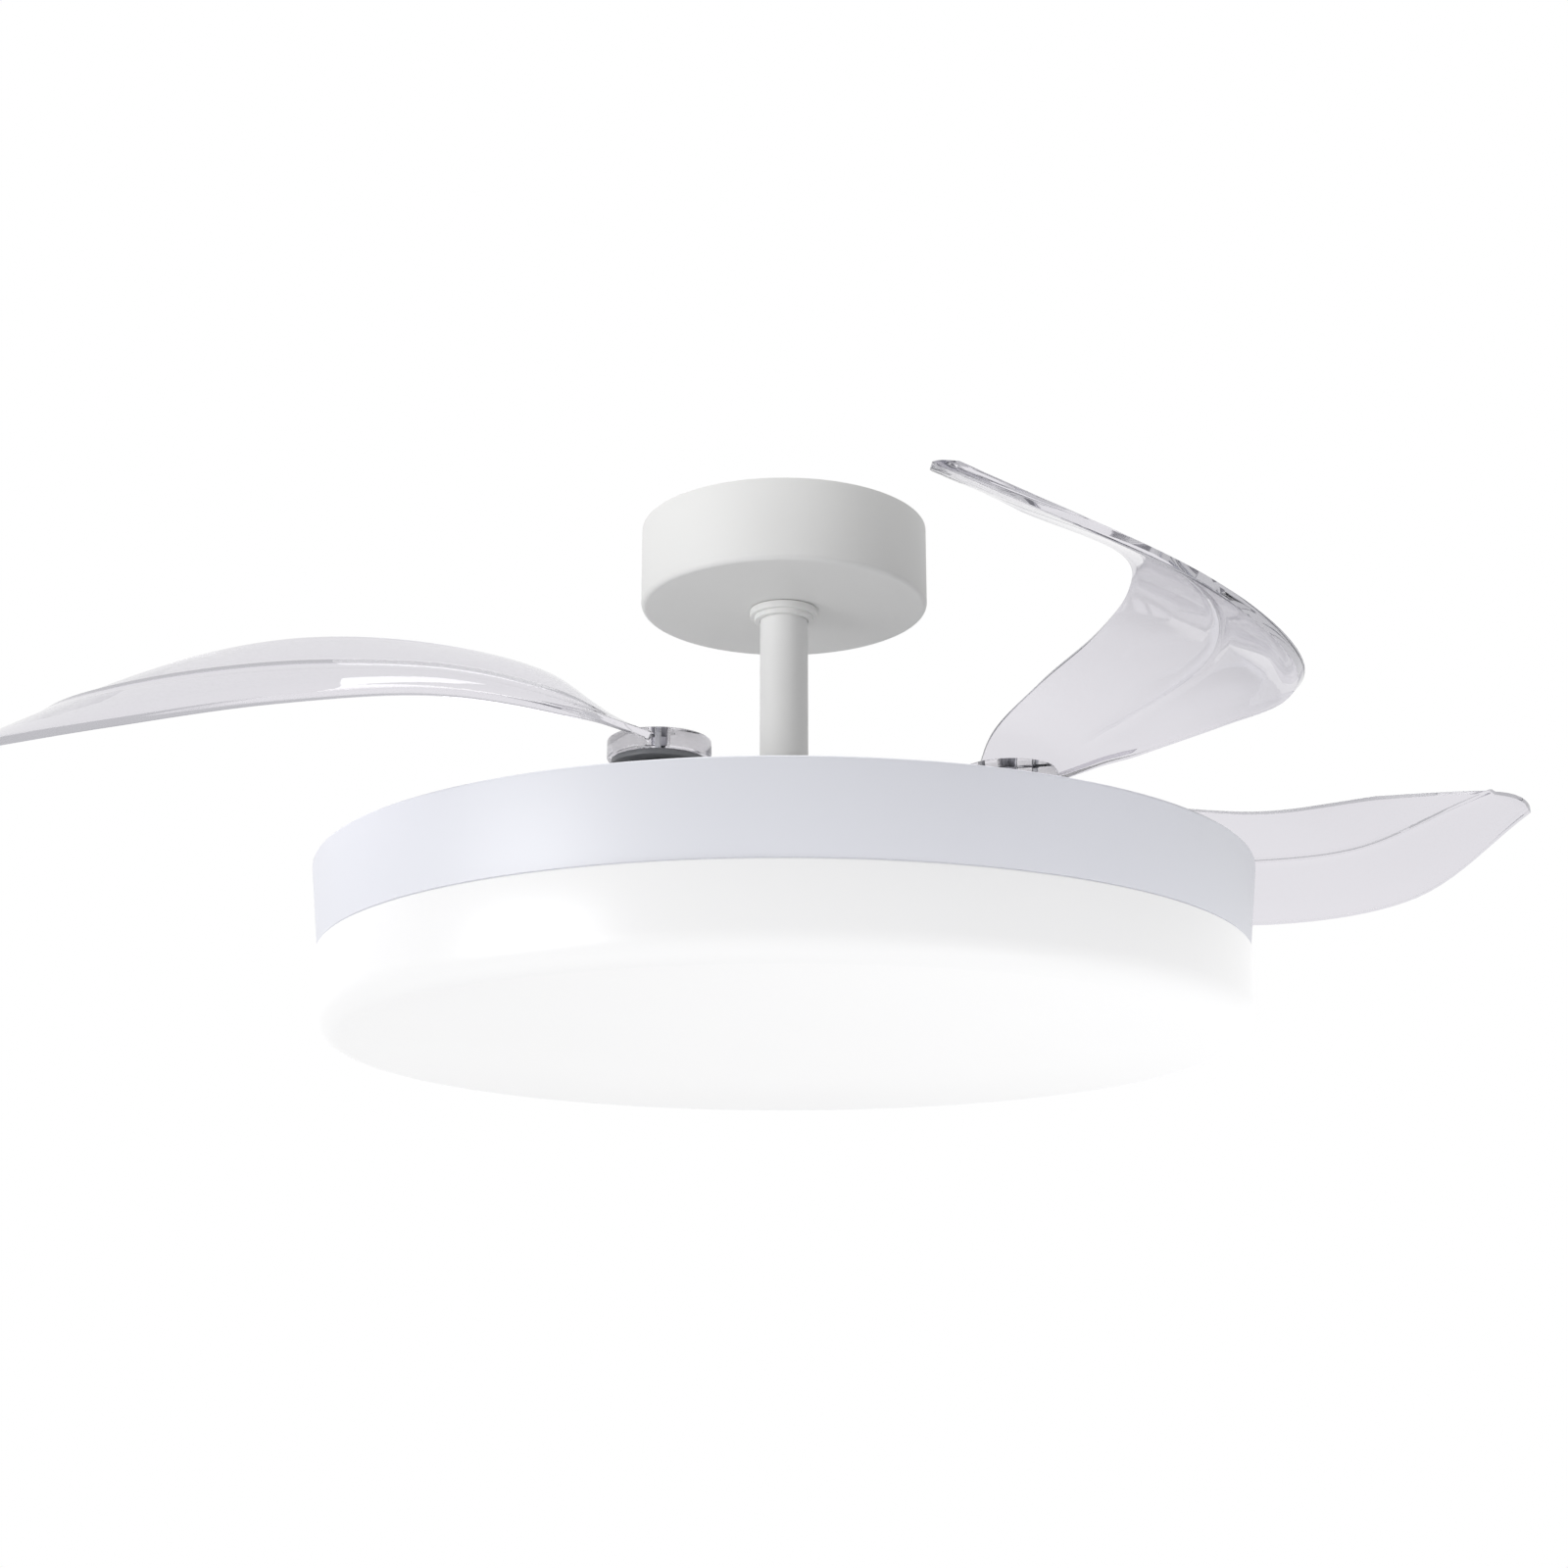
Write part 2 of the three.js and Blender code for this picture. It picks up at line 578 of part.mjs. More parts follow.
// An involute gear's outline, with its cut teeth spread about +X. The rest of the rim is at the heel.
function gearOutline(teeth, cut, heel) {
  const pitch = (MODULE_MM * teeth) / 2;
  const base = pitch * Math.cos(THREE.MathUtils.degToRad(PRESSURE_ANGLE));
  const tip = pitch + TOOTH_TIP * MODULE_MM;
  const root = pitch - TOOTH_ROOT * MODULE_MM;
  const involute = (radius) => {
    const slope = Math.acos(Math.min(1, base / radius));
    return Math.tan(slope) - slope;
  };
  const half = (Math.PI / 2 - BACKLASH / MODULE_MM) / teeth;
  const halfAt = (radius) => half + involute(pitch) - involute(Math.max(radius, base));
  const points = [];
  for (let i = 0; i < teeth; i += 1) {
    const middle = (2 * Math.PI * (i - (cut - 1) / 2)) / teeth;
    if (i >= cut) {
      points.push([heel, middle]);
      continue;
    }
    points.push([root, middle - halfAt(root)], [tip, middle - halfAt(tip)]);
    points.push([tip, middle + halfAt(tip)], [root, middle + halfAt(root)]);
  }
  const place = ([radius, angle]) => new THREE.Vector2(radius * Math.cos(angle), radius * Math.sin(angle));
  return new THREE.Shape(points.map(place));
}

// The ring gear's teeth are centred on the pivots.
function syncGear() {
  const shape = gearOutline(SYNC_TEETH, SYNC_TEETH, 0);
  shape.holes.push(boreHole(clearing(MOTOR_RADIUS + RUN, MOTOR_SIDES)));
  const gear = raised(shape, gearZ, gearZ + GEAR_HEIGHT, MOTOR_SIDES / 2);
  const firstTooth = (Math.PI * (1 - SYNC_TEETH)) / SYNC_TEETH;
  gear.rotateZ(THREE.MathUtils.degToRad(PIVOT_ANGLE) - firstTooth);
  return gear;
}

// A blade's gear is a toothed sector with the neck that carries the blade. As the blade swings in,
// its teeth pass the ring gear from one end of the sector to the other.
function bladeGear() {
  const shape = gearOutline(BLADE_TEETH, SECTOR_TEETH, HEEL_RADIUS);
  const step = (2 * Math.PI) / BLADE_TEETH;
  const toAxis = THREE.MathUtils.degToRad(PIVOT_ANGLE) + Math.PI;
  const lead = SECTOR_TEETH / 2 - 1;
  const sector = raised(shape, gearZ, gearZ + GEAR_HEIGHT);
  sector.rotateZ(toAxis + lead * step);
  const neck = rod(NECK_RADIUS, gearZ + GEAR_HEIGHT - JOINED, neckTop, SMALL_SIDES);
  const bore = rod(PIVOT_RADIUS + RUN, gearZ - JOINED, neckTop + JOINED);
  const body = solid(sector).add(solid(neck)).subtract(solid(bore));
  return surface(body.subtract(bladeScrewHoles()));
}

function screwPlaces() {
  return [[-SCREW_OFFSET, 0], [SCREW_OFFSET, 0]];
}

function bladeScrewHoles() {
  const holes = screwPlaces().map(([x, y]) => {
    const hole = rod(SCREW_RADIUS + CLEAR, rootTop - SCREW_DEPTH - CLEAR, rootTop + JOINED, 6);
    hole.translate(x, y, 0);
    return solid(hole);
  });
  return holes[0].add(holes[1]);
}

function bladeScrew([x, y]) {
  const seat = rootTop + CLEAR;
  const shank = rod(SCREW_RADIUS, rootTop - SCREW_DEPTH, seat + SCREW_HEAD_HEIGHT / 2, 6);
  const head = rod(SCREW_HEAD, seat, seat + SCREW_HEAD_HEIGHT, BAR_SIDES);
  const screw = surface(solid(shank).add(solid(head)));
  screw.translate(x, y, 0);
  return screw;
}

function bladeBush() {
  const low = rootZ - CLEAR - BUSH_THICKNESS;
  const ring = solid(tube(PIVOT_RADIUS + RUN, BUSH_RADIUS, low, low + BUSH_THICKNESS, SMALL_SIDES));
  return surface(ring.subtract(bladeScrewHoles()));
}

// ---- Clear blades ----

function edgeCurve(points) {
  return new THREE.CatmullRomCurve3(points.map((p) => new THREE.Vector3(...p)), false, 'centripetal');
}

// The blade's upper and lower skins over a grid that runs along the two edges and across them.
function bladeSheet() {
  const inner = edgeCurve(INNER_EDGE);
  const outer = edgeCurve(OUTER_EDGE);
  const [rows, columns] = [16, 4];
  const middle = rootZ + ROOT_HEIGHT / 2;
  const at = (row, column, side) => {
    const [u, v] = [row / rows, column / columns];
    const a = inner.getPoint(u);
    const b = outer.getPoint(u);
    const along = inner.getTangent(u).lerp(outer.getTangent(u), v).setZ(0).normalize();
    const across = 4 * v * (1 - v);
    const p = a.clone().lerp(b, v);
    p.addScaledVector(along, TIP_BULGE * across * u ** 8);
    p.z += middle + BLADE_CAMBER * across * Math.sin(Math.PI * u);
    const bead = THREE.MathUtils.smoothstep(v, BEAD_START, 1) * (BEAD_THICKNESS - BLADE_THICKNESS);
    p.z += (side * (BLADE_THICKNESS + bead)) / 2;
    return p;
  };
  const position = [];
  const index = [];
  for (const side of [1, -1]) {
    for (let row = 0; row <= rows; row += 1) {
      for (let column = 0; column <= columns; column += 1) position.push(...at(row, column, side).toArray());
    }
  }
  const wide = columns + 1;
  const skin = wide * (rows + 1);
  const quad = (a, b, c, d) => index.push(a, b, c, a, c, d);
  for (let row = 0; row < rows; row += 1) {
    for (let column = 0; column < columns; column += 1) {
      const a = row * wide + column;
      quad(a, a + wide, a + wide + 1, a + 1);
      quad(skin + a, skin + a + 1, skin + a + wide + 1, skin + a + wide);
    }
    const first = row * wide;
    quad(first, skin + first, skin + first + wide, first + wide);
    quad(first + columns, first + columns + wide, skin + first + columns + wide, skin + first + columns);
  }
  for (let column = 0; column < columns; column += 1) {
    const last = rows * wide + column;
    quad(column, column + 1, skin + column + 1, skin + column);
    quad(last, skin + last, skin + last + 1, last + 1);
  }
  const geometry = new THREE.BufferGeometry();
  geometry.setAttribute('position', new THREE.Float32BufferAttribute(position, 3));
  geometry.setIndex(index);
  return geometry;
}

function bladeShell() {
  const disc = solid(rod(ROOT_RADIUS, rootZ, rootTop, 24));
  const room = clearing(SCREW_OFFSET + SCREW_HEAD + CLEAR, SMALL_SIDES);
  const recess = solid(rod(room, rootTop, rootTop + ROOT_RADIUS, SMALL_SIDES));
  const bore = solid(rod(PIVOT_RADIUS + RUN, rootZ - JOINED, rootTop + JOINED));
  return surface(disc.add(solid(bladeSheet())).subtract(recess).subtract(bore).subtract(bladeScrewHoles()));
}

// ---- Blade carrier ----

// Drills a plate or a cover round each pivot.
function drilled(geometry, radius) {
  let body = solid(geometry);
  for (let k = 0; k < BLADES; k += 1) {
    const [x, y] = pivotPlace(k);
    const hole = rod(clearing(radius, HOLE_SIDES), carrierZ - JOINED, rootZ);
    hole.translate(x, y, 0);
    body = body.subtract(solid(hole));
  }
  return body;
}

function bladeCarrier() {
  const top = carrierZ + CARRIER_THICKNESS;
  const bore = clearing(MOTOR_RADIUS + CLEAR, PLATE_SIDES);
  let body = drilled(tube(bore, carrierRadius, carrierZ, top, PLATE_SIDES), PIVOT_RADIUS + CLEAR);
  for (let k = 0; k < BLADES; k += 1) {
    const angle = THREE.MathUtils.degToRad(PIVOT_ANGLE + (360 * (k + 0.5)) / BLADES);
    const window = rod(CARRIER_WINDOW, carrierZ - JOINED, top + JOINED);
    const distance = (MOTOR_RADIUS + MOTOR_FLANGE + carrierRadius) / 2;
    window.translate(distance * Math.cos(angle), distance * Math.sin(angle), 0);
    body = body.subtract(solid(window));
  }
  return surface(body);
}

function hubCover() {
  const low = carrierZ + CARRIER_THICKNESS + CLEAR;
  const high = low + COVER_HEIGHT;
  const bore = clearing(MOTOR_RADIUS + CLEAR, PLATE_SIDES);
  const inner = carrierRadius - COVER_THICKNESS;
  const shell = turned([
    [carrierRadius, low], [carrierRadius, high], [bore, high],
    [bore, high - COVER_THICKNESS], [inner, high - COVER_THICKNESS], [inner, low],
  ], PLATE_SIDES);
  return surface(drilled(shell, NECK_RADIUS + RUN));
}

function pivotBolt() {
  const foot = carrierZ - CLEAR;
  const shank = rod(PIVOT_RADIUS, foot - JOINED, rootTop + PIVOT_HEAD_HEIGHT, BAR_SIDES);
  const head = rod(PIVOT_HEAD, rootTop + CLEAR, rootTop + CLEAR + PIVOT_HEAD_HEIGHT);
  const rivet = rod(RIVET_RADIUS, foot - RIVET_HEIGHT, foot);
  return surface(solid(shank).add(solid(head)).add(solid(rivet)));
}

// A flat spiral over the ring gear, wound out from the motor's can.
function returnSpring() {
  const low = gearZ + GEAR_HEIGHT + CLEAR;
  const steps = SPRING_TURNS * SPRING_SIDES;
  const start = MOTOR_RADIUS + SPRING_START;
  const at = (i, offset) => {
    const angle = (2 * Math.PI * i) / SPRING_SIDES;
    const radius = start + (SPRING_PITCH * i) / SPRING_SIDES + offset;
    return new THREE.Vector2(radius * Math.cos(angle), radius * Math.sin(angle));
  };
  const outline = [];
  for (let i = 0; i <= steps; i += 1) outline.push(at(i, SPRING_THICKNESS / 2));
  for (let i = steps; i >= 0; i -= 1) outline.push(at(i, -SPRING_THICKNESS / 2));
  return raised(new THREE.Shape(outline), low, low + SPRING_HEIGHT);
}

// ---- Drum light ----

function lightRing() {
  return turned([
    [ringFoot, drumBottom], [DRUM_RADIUS, drumTop - LIP_ROUND], [DRUM_RADIUS - LIP_ROUND, drumTop],
    [DRUM_RADIUS - DRUM_LIP, drumTop], [DRUM_RADIUS - DRUM_LIP, drumTop - LIP_THICKNESS],
    [DRUM_RADIUS - LIP_ROUND - DRUM_WALL, drumTop - LIP_THICKNESS], [ringFoot - DRUM_WALL, drumBottom],
  ], DRUM_SIDES);
}

function lightPan() {
  const inner = panRadius - PAN_THICKNESS;
  return turned([
    [SHAFT_RADIUS + CLEAR, panBottom], [SHAFT_RADIUS + CLEAR, panTop], [panRadius, panTop],
    [panRadius, panTop - PAN_SKIRT], [inner, panTop - PAN_SKIRT], [inner, panBottom],
  ], DRUM_SIDES);
}

function ledTray() {
  const top = panBottom - CLEAR;
  const floor = trayBottom + PAN_THICKNESS;
  const inner = trayRadius - PAN_THICKNESS;
  return turned([
    [TRAY_HOLE, trayBottom], [trayRadius, trayBottom], [trayRadius, top], [inner, top],
    [inner, floor], [TRAY_HOLE, floor],
  ], PLATE_SIDES);
}

function ledBoard() {
  const top = trayBottom - CLEAR;
  const low = top - BOARD_THICKNESS;
  const rim = trayRadius - BOARD_MARGIN;
  let body = solid(tube(BOARD_HOLE, rim, low, top, MOTOR_SIDES));
  for (const [share, count] of LED_ROWS) {
    for (let i = 0; i < count; i += 1) {
      const led = block(LED_SIZE, LED_SIZE, 2 * LED_HEIGHT, share * rim, 0, low);
      led.rotateZ((2 * Math.PI * i) / count);
      body = body.add(solid(led));
    }
  }
  return surface(body);
}

function ledDriver() {
  const x = DRIVER_IN + DRIVER[0] / 2;
  return roundedBox(DRIVER, DRIVER_ROUND, x, 0, panBottom - CLEAR - DRIVER[2]);
}

function diffuser() {
  const top = drumBottom - CLEAR;
  const bottom = drumBottom - DIFFUSER_DEPTH;
  const neckTop = top + DIFFUSER_NECK_HEIGHT;
  const turn = [bowlRadius - DIFFUSER_ROUND, bottom + DIFFUSER_ROUND];
  const neckIn = neckRadius - DIFFUSER_WALL;
  return turned([
    [neckIn, neckTop], [neckRadius, neckTop], [neckRadius, top],
    [bowlRadius - DIFFUSER_WALL, top], ...quarter(turn, DIFFUSER_ROUND, 0, -90, 3),
    [0, bottom - DIFFUSER_SAG], [0, bottom - DIFFUSER_SAG + DIFFUSER_WALL],
    ...quarter(turn, DIFFUSER_ROUND - DIFFUSER_WALL, -90, 0, 2), [neckIn, top - DIFFUSER_WALL],
  ], DRUM_SIDES);
}

// A spring clip inside the ring that holds the diffuser's neck.
function diffuserClip(k) {
  const [thick, wide, tall] = CLIP_SIZE;
  const outer = neckRadius - DIFFUSER_WALL - 3 * CLEAR;
  const clip = block(thick, wide, tall, outer - thick / 2, 0, panTop - PAN_SKIRT - CLEAR - tall / 2);
  clip.rotateZ((2 * Math.PI * (k + 0.25)) / CLIPS);
  return clip;
}

// ---- Finishes ----
const FINISH = {
  white_paint: [0xe9e9ea, 0.55, 0.0],
  ring_paint: [0xdddfe8, 0.5, 0.0],
  zinc: [0xb4b8bb, 0.4, 0.9],
  steel: [0x9a9da0, 0.35, 1.0],
  aluminium: [0xc6c8ca, 0.4, 0.9],
  black_plastic: [0x2b2c2f, 0.5, 0.0],
  white_plastic: [0xf0f0ee, 0.45, 0.0],
  grey_plastic: [0x6d7075, 0.5, 0.0],
  clear_plastic: [0xe4e3ea, 0.08, 0.0],
  opal_plastic: [0xfafafa, 0.35, 0.0],
  copper: [0xb06a3b, 0.4, 0.8],
  magnet: [0x45474b, 0.4, 0.6],
  board: [0xf4f4f1, 0.5, 0.0],
  cable: [0x1e1f21, 0.6, 0.0],
};

function piece(name, geometry, finish) {
  const [color, roughness, metalness] = FINISH[finish];
  const material = new THREE.MeshStandardMaterial({ color, roughness, metalness });
  const mesh = new THREE.Mesh(geometry.getAttribute('normal') ? tidy(geometry) : geometry, material);
  mesh.name = name;
  return mesh;
}

function ceilingGroup() {
  const group = new THREE.Group();
  group.add(
    piece('ceiling_bracket', ceilingBracket(), 'zinc'),
    piece('hanger_ball', hangerBall(), 'black_plastic'),
    piece('hanger_pin', crossBar(PIN_RADIUS, 2 * (BALL_RADIUS - PIN_SHORT), ballZ), 'steel'),
    piece('canopy', canopy(), 'white_paint'),
    piece('canopy_collar', canopyCollar(), 'white_paint'),
    piece('collar_grub_screw', grubScrew(), 'steel'),
    piece('receiver_box', receiverBox(), 'white_plastic'),
    piece('terminal_block', terminalBlock(), 'white_plastic'),
  );
  return group;
}

function rodGroup() {
  const group = new THREE.Group();
  group.add(
    piece('downrod', downrod(), 'white_paint'),
    piece('rod_coupling', rodCoupling(), 'white_paint'),
    piece('rod_pin', crossBar(PIN_RADIUS, 2 * couplingRadius, rodPinZ()), 'steel'),
    piece('shaft_pin', shaftPin(), 'steel'),
    piece('stator_shaft', statorShaft(), 'steel'),
    piece('shaft_nut', shaftNut(), 'zinc'),
    piece('stator_core', statorCore(), 'steel'),
    piece('stator_winding', statorWinding(), 'copper'),
    piece('lead', lead(), 'cable'),
  );
  return group;
}

function lightGroup() {
  const group = new THREE.Group();
  group.add(
    piece('light_ring', lightRing(), 'ring_paint'),
    piece('light_pan', lightPan(), 'ring_paint'),
    piece('led_tray', ledTray(), 'white_paint'),
    piece('led_board', ledBoard(), 'board'),
    piece('led_driver', ledDriver(), 'white_plastic'),
    piece('diffuser', diffuser(), 'opal_plastic'),
  );
  for (let k = 0; k < CLIPS; k += 1) group.add(piece(`diffuser_clip_${k + 1}`, diffuserClip(k), 'steel'));
  return group;
}

function rotorGroup() {
  const group = new THREE.Group();
  const lowerBearing = drumTop + MOTOR_BOTTOM + CUP_WALL / 2 + CLEAR;
  const upperBearing = drumTop + MOTOR_TOP - CUP_WALL / 2 - CLEAR - BEARING_WIDTH;
  group.add(
    piece('rotor_base', rotorBase(), 'aluminium'),
    piece('rotor_cover', rotorCover(), 'white_paint'),
    piece('magnet_ring', magnetRing(), 'magnet'),
    piece('lower_bearing', bearing(lowerBearing), 'steel'),
    piece('upper_bearing', bearing(upperBearing), 'steel'),
    piece('blade_carrier', bladeCarrier(), 'zinc'),
    piece('hub_cover', hubCover(), 'white_paint'),
    piece('return_spring', returnSpring(), 'steel'),
    piece('sync_gear', syncGear(), 'grey_plastic'),
  );
  for (let k = 0; k < BLADES; k += 1) {
    const bolt = piece(`pivot_bolt_${k + 1}`, pivotBolt(), 'steel');
    bolt.position.set(...pivotPlace(k), 0);
    group.add(bolt);
  }
  return group;
}

function bladeGroup(k) {
  const group = new THREE.Group();
  const name = `blade_${k + 1}`;
  group.add(
    piece(name, bladeShell(), 'clear_plastic'),
    piece(`${name}_bush`, bladeBush(), 'grey_plastic'),
    piece(`${name}_gear`, bladeGear(), 'grey_plastic'),
  );
  screwPlaces().forEach((place, i) => group.add(piece(`${name}_screw_${i + 1}`, bladeScrew(place), 'steel')));
  group.position.set(...pivotPlace(k), 0);
  group.rotation.z = (2 * Math.PI * k) / BLADES;
  return group;
}

const fan = new THREE.Group();
fan.add(ceilingGroup(), rodGroup(), lightGroup(), rotorGroup());
for (let k = 0; k < BLADES; k += 1) fan.add(bladeGroup(k));

export default fan;
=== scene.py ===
# A ceiling fan with a drum light and four clear blades that swing in over the drum when it stops.
# Metres, +Z up. The origin is on the ceiling, on the fan's axis. The blades stand open at rest.
import json
import math

import bpy
from mathutils import Matrix, Vector

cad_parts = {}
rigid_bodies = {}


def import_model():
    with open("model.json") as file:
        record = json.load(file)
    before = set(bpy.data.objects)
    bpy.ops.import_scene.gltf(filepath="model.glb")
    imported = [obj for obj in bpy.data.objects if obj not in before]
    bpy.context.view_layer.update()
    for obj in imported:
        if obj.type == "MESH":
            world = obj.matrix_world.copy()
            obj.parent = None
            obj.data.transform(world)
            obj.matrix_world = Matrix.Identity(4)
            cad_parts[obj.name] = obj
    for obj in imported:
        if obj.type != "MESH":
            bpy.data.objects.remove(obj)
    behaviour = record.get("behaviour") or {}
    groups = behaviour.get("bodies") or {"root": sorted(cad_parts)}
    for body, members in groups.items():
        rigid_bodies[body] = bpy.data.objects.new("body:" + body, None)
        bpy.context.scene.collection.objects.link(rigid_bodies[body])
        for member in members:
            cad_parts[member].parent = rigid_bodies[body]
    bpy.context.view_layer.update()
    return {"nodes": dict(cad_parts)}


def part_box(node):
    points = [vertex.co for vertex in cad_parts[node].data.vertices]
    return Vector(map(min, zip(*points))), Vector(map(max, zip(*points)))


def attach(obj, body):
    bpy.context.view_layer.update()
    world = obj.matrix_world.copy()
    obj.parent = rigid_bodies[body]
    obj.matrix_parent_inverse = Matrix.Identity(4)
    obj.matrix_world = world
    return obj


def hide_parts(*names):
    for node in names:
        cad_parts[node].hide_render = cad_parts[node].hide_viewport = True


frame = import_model()
nodes = frame["nodes"]
MM = 0.001

# ---- Camera ----
# The photograph looks up at the drum from below its level. The lens is a short telephoto on a
# full-frame body, pitched up, so the canopy and the drum both show their undersides.
LENS = 54
SENSOR = 36
CAMERA_PITCH = math.radians(15.65)
CAMERA_BACK = 1.237
CAMERA_BELOW_DRUM_TOP = 0.290

drum_low, drum_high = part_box("light_ring")
camera_data = bpy.data.cameras.new("camera")
camera_data.lens = LENS
camera_data.sensor_width = SENSOR
camera = bpy.data.objects.new("camera", camera_data)
camera.location = (0, -CAMERA_BACK, drum_high.z - CAMERA_BELOW_DRUM_TOP)
camera.rotation_euler = (math.pi / 2 + CAMERA_PITCH, 0, 0)
bpy.context.scene.collection.objects.link(camera)
bpy.context.scene.camera = camera

# ---- Light ----
# A white studio: a large soft lamp on the left, one overhead that the drum's pan throws back up, and
# a small one low on the right. The world is white to the eye and in glass, and a plain grey as light.
WORLD_GREY = 0.39
KEY_PLACE = (-1.9, -1.3, -0.4)
KEY_SIZE = 1.2
KEY_WATTS = 30
OVERHEAD_PLACE = (0, -0.1, 0.9)
OVERHEAD_SIZE = 0.8
OVERHEAD_WATTS = 8
LOW_PLACE = (0.75, -0.55, -1.2)
LOW_SIZE = 0.6
LOW_WATTS = 9
LAMP_AIM = (0, 0, -0.2)
WHITE = (1, 1, 1, 1)


def soft_lamp(name, place, size, watts):
    """A square lamp aimed at the fan, which neither the camera nor the blades show."""
    data = bpy.data.lights.new(name, "AREA")
    data.shape = "SQUARE"
    data.size = size
    data.energy = watts
    lamp = bpy.data.objects.new(name, data)
    lamp.location = place
    lamp.rotation_euler = (Vector(LAMP_AIM) - Vector(place)).to_track_quat("-Z", "Y").to_euler()
    lamp.visible_camera = False
    lamp.visible_transmission = False
    bpy.context.scene.collection.objects.link(lamp)
    return lamp


def sum_node(tree, operation, *values):
    """One step of arithmetic in a material. Each value is a number or the output that gives it."""
    node = tree.nodes.new("ShaderNodeMath")
    node.operation = operation
    for socket, value in zip(node.inputs, values):
        if isinstance(value, bpy.types.NodeSocket):
            tree.links.new(value, socket)
        else:
            socket.default_value = value
    return node.outputs[0]


def seen_share(tree):
    """A value that is 1 for what the camera sees, straight, in a gloss or through the blades."""
    path = tree.nodes.new("ShaderNodeLightPath")
    seen = path.outputs["Is Camera Ray"]
    for ray in ("Is Glossy Ray", "Is Transmission Ray"):
        seen = sum_node(tree, "MAXIMUM", seen, path.outputs[ray])
    return seen


soft_lamp("key", KEY_PLACE, KEY_SIZE, KEY_WATTS)
soft_lamp("overhead", OVERHEAD_PLACE, OVERHEAD_SIZE, OVERHEAD_WATTS)
low_lamp = soft_lamp("low", LOW_PLACE, LOW_SIZE, LOW_WATTS)
low_lamp.visible_glossy = False

bpy.context.scene.view_settings.view_transform = "Standard"
world = bpy.data.worlds.new("studio")
bpy.context.scene.world = world
world.use_nodes = True
tree = world.node_tree
tree.nodes.clear()
level = tree.nodes.new("ShaderNodeMapRange")
level.inputs["To Min"].default_value = WORLD_GREY
level.inputs["To Max"].default_value = 1.0
tree.links.new(seen_share(tree), level.inputs["Value"])
background = tree.nodes.new("ShaderNodeBackground")
background.inputs["Color"].default_value = WHITE
tree.links.new(level.outputs["Result"], background.inputs["Strength"])
world_out = tree.nodes.new("ShaderNodeOutputWorld")
tree.links.new(background.outputs[0], world_out.inputs["Surface"])

# ---- Floor ----
# A pale floor where a room's floor would be, under a fan that hangs from a normal ceiling. Where it is
# seen it is lifted nearly to white, and it still takes the fan's shadow.
FLOOR_BELOW_CEILING = 2.5
FLOOR_SIZE = 60
FLOOR_GLOW = 0.85
FLOOR_COLOUR = (0.86, 0.86, 0.86, 1)
FLOOR_ROUGHNESS = 0.9

bpy.ops.object.select_all(action="DESELECT")
bpy.ops.mesh.primitive_plane_add(size=FLOOR_SIZE, location=(0, 0, -FLOOR_BELOW_CEILING))
floor = bpy.context.object
floor.name = "floor"
floor_paint = bpy.data.materials.new("floor_paint")
floor_paint.use_nodes = True
tree = floor_paint.node_tree
shader = tree.nodes["Principled BSDF"]
shader.inputs["Base Color"].default_value = FLOOR_COLOUR
shader.inputs["Roughness"].default_value = FLOOR_ROUGHNESS
glow = tree.nodes.new("ShaderNodeEmission")
glow.inputs["Color"].default_value = WHITE
mix = tree.nodes.new("ShaderNodeMixShader")
tree.links.new(sum_node(tree, "MULTIPLY", seen_share(tree), FLOOR_GLOW), mix.inputs["Fac"])
tree.links.new(shader.outputs[0], mix.inputs[1])
tree.links.new(glow.outputs[0], mix.inputs[2])
tree.links.new(mix.outputs[0], tree.nodes["Material Output"].inputs["Surface"])
floor.data.materials.append(floor_paint)

# ---- Canopy ----
# A pressed steel cup, 159 mm across, in matte white powder coat. Its lower edge is rounded and its
# open top stands half a millimetre off the ceiling. It slides up the rod and the collar holds it.
CANOPY_WALL = 1.5 * MM
CANOPY_ROUND = 3 * MM
ROD_HOLE_GAP = 0.6 * MM
TURNED_STEPS = 144
ARC_STEPS = 5
SEAM_GAP = 0.005 * MM
SMOOTH_ANGLE = math.radians(35)
MOTTLE_SCALE = 14
MOTTLE_DETAIL = 5
GRAIN_DETAIL = 3
GRAIN_STRENGTH = 0.35


def eased(corners):
    """An outline of (radius, z, round) corners, each round one drawn as an arc."""
    outline = []
    for i, (r, z, ease) in enumerate(corners):
        here = Vector((r, z))
        if not ease:
            outline.append(here)
            continue
        before = (Vector(corners[i - 1][:2]) - here).normalized()
        after = (Vector(corners[(i + 1) % len(corners)][:2]) - here).normalized()
        half = before.angle(after) / 2
        centre = here + (before + after).normalized() * ease / math.sin(half)
        start = here + before * ease / math.tan(half) - centre
        end = here + after * ease / math.tan(half) - centre
        turn = start.angle_signed(end)
        for k in range(ARC_STEPS + 1):
            bent = start.copy()
            bent.rotate(Matrix.Rotation(-turn * k / ARC_STEPS, 2))
            outline.append(centre + bent)
    return outline


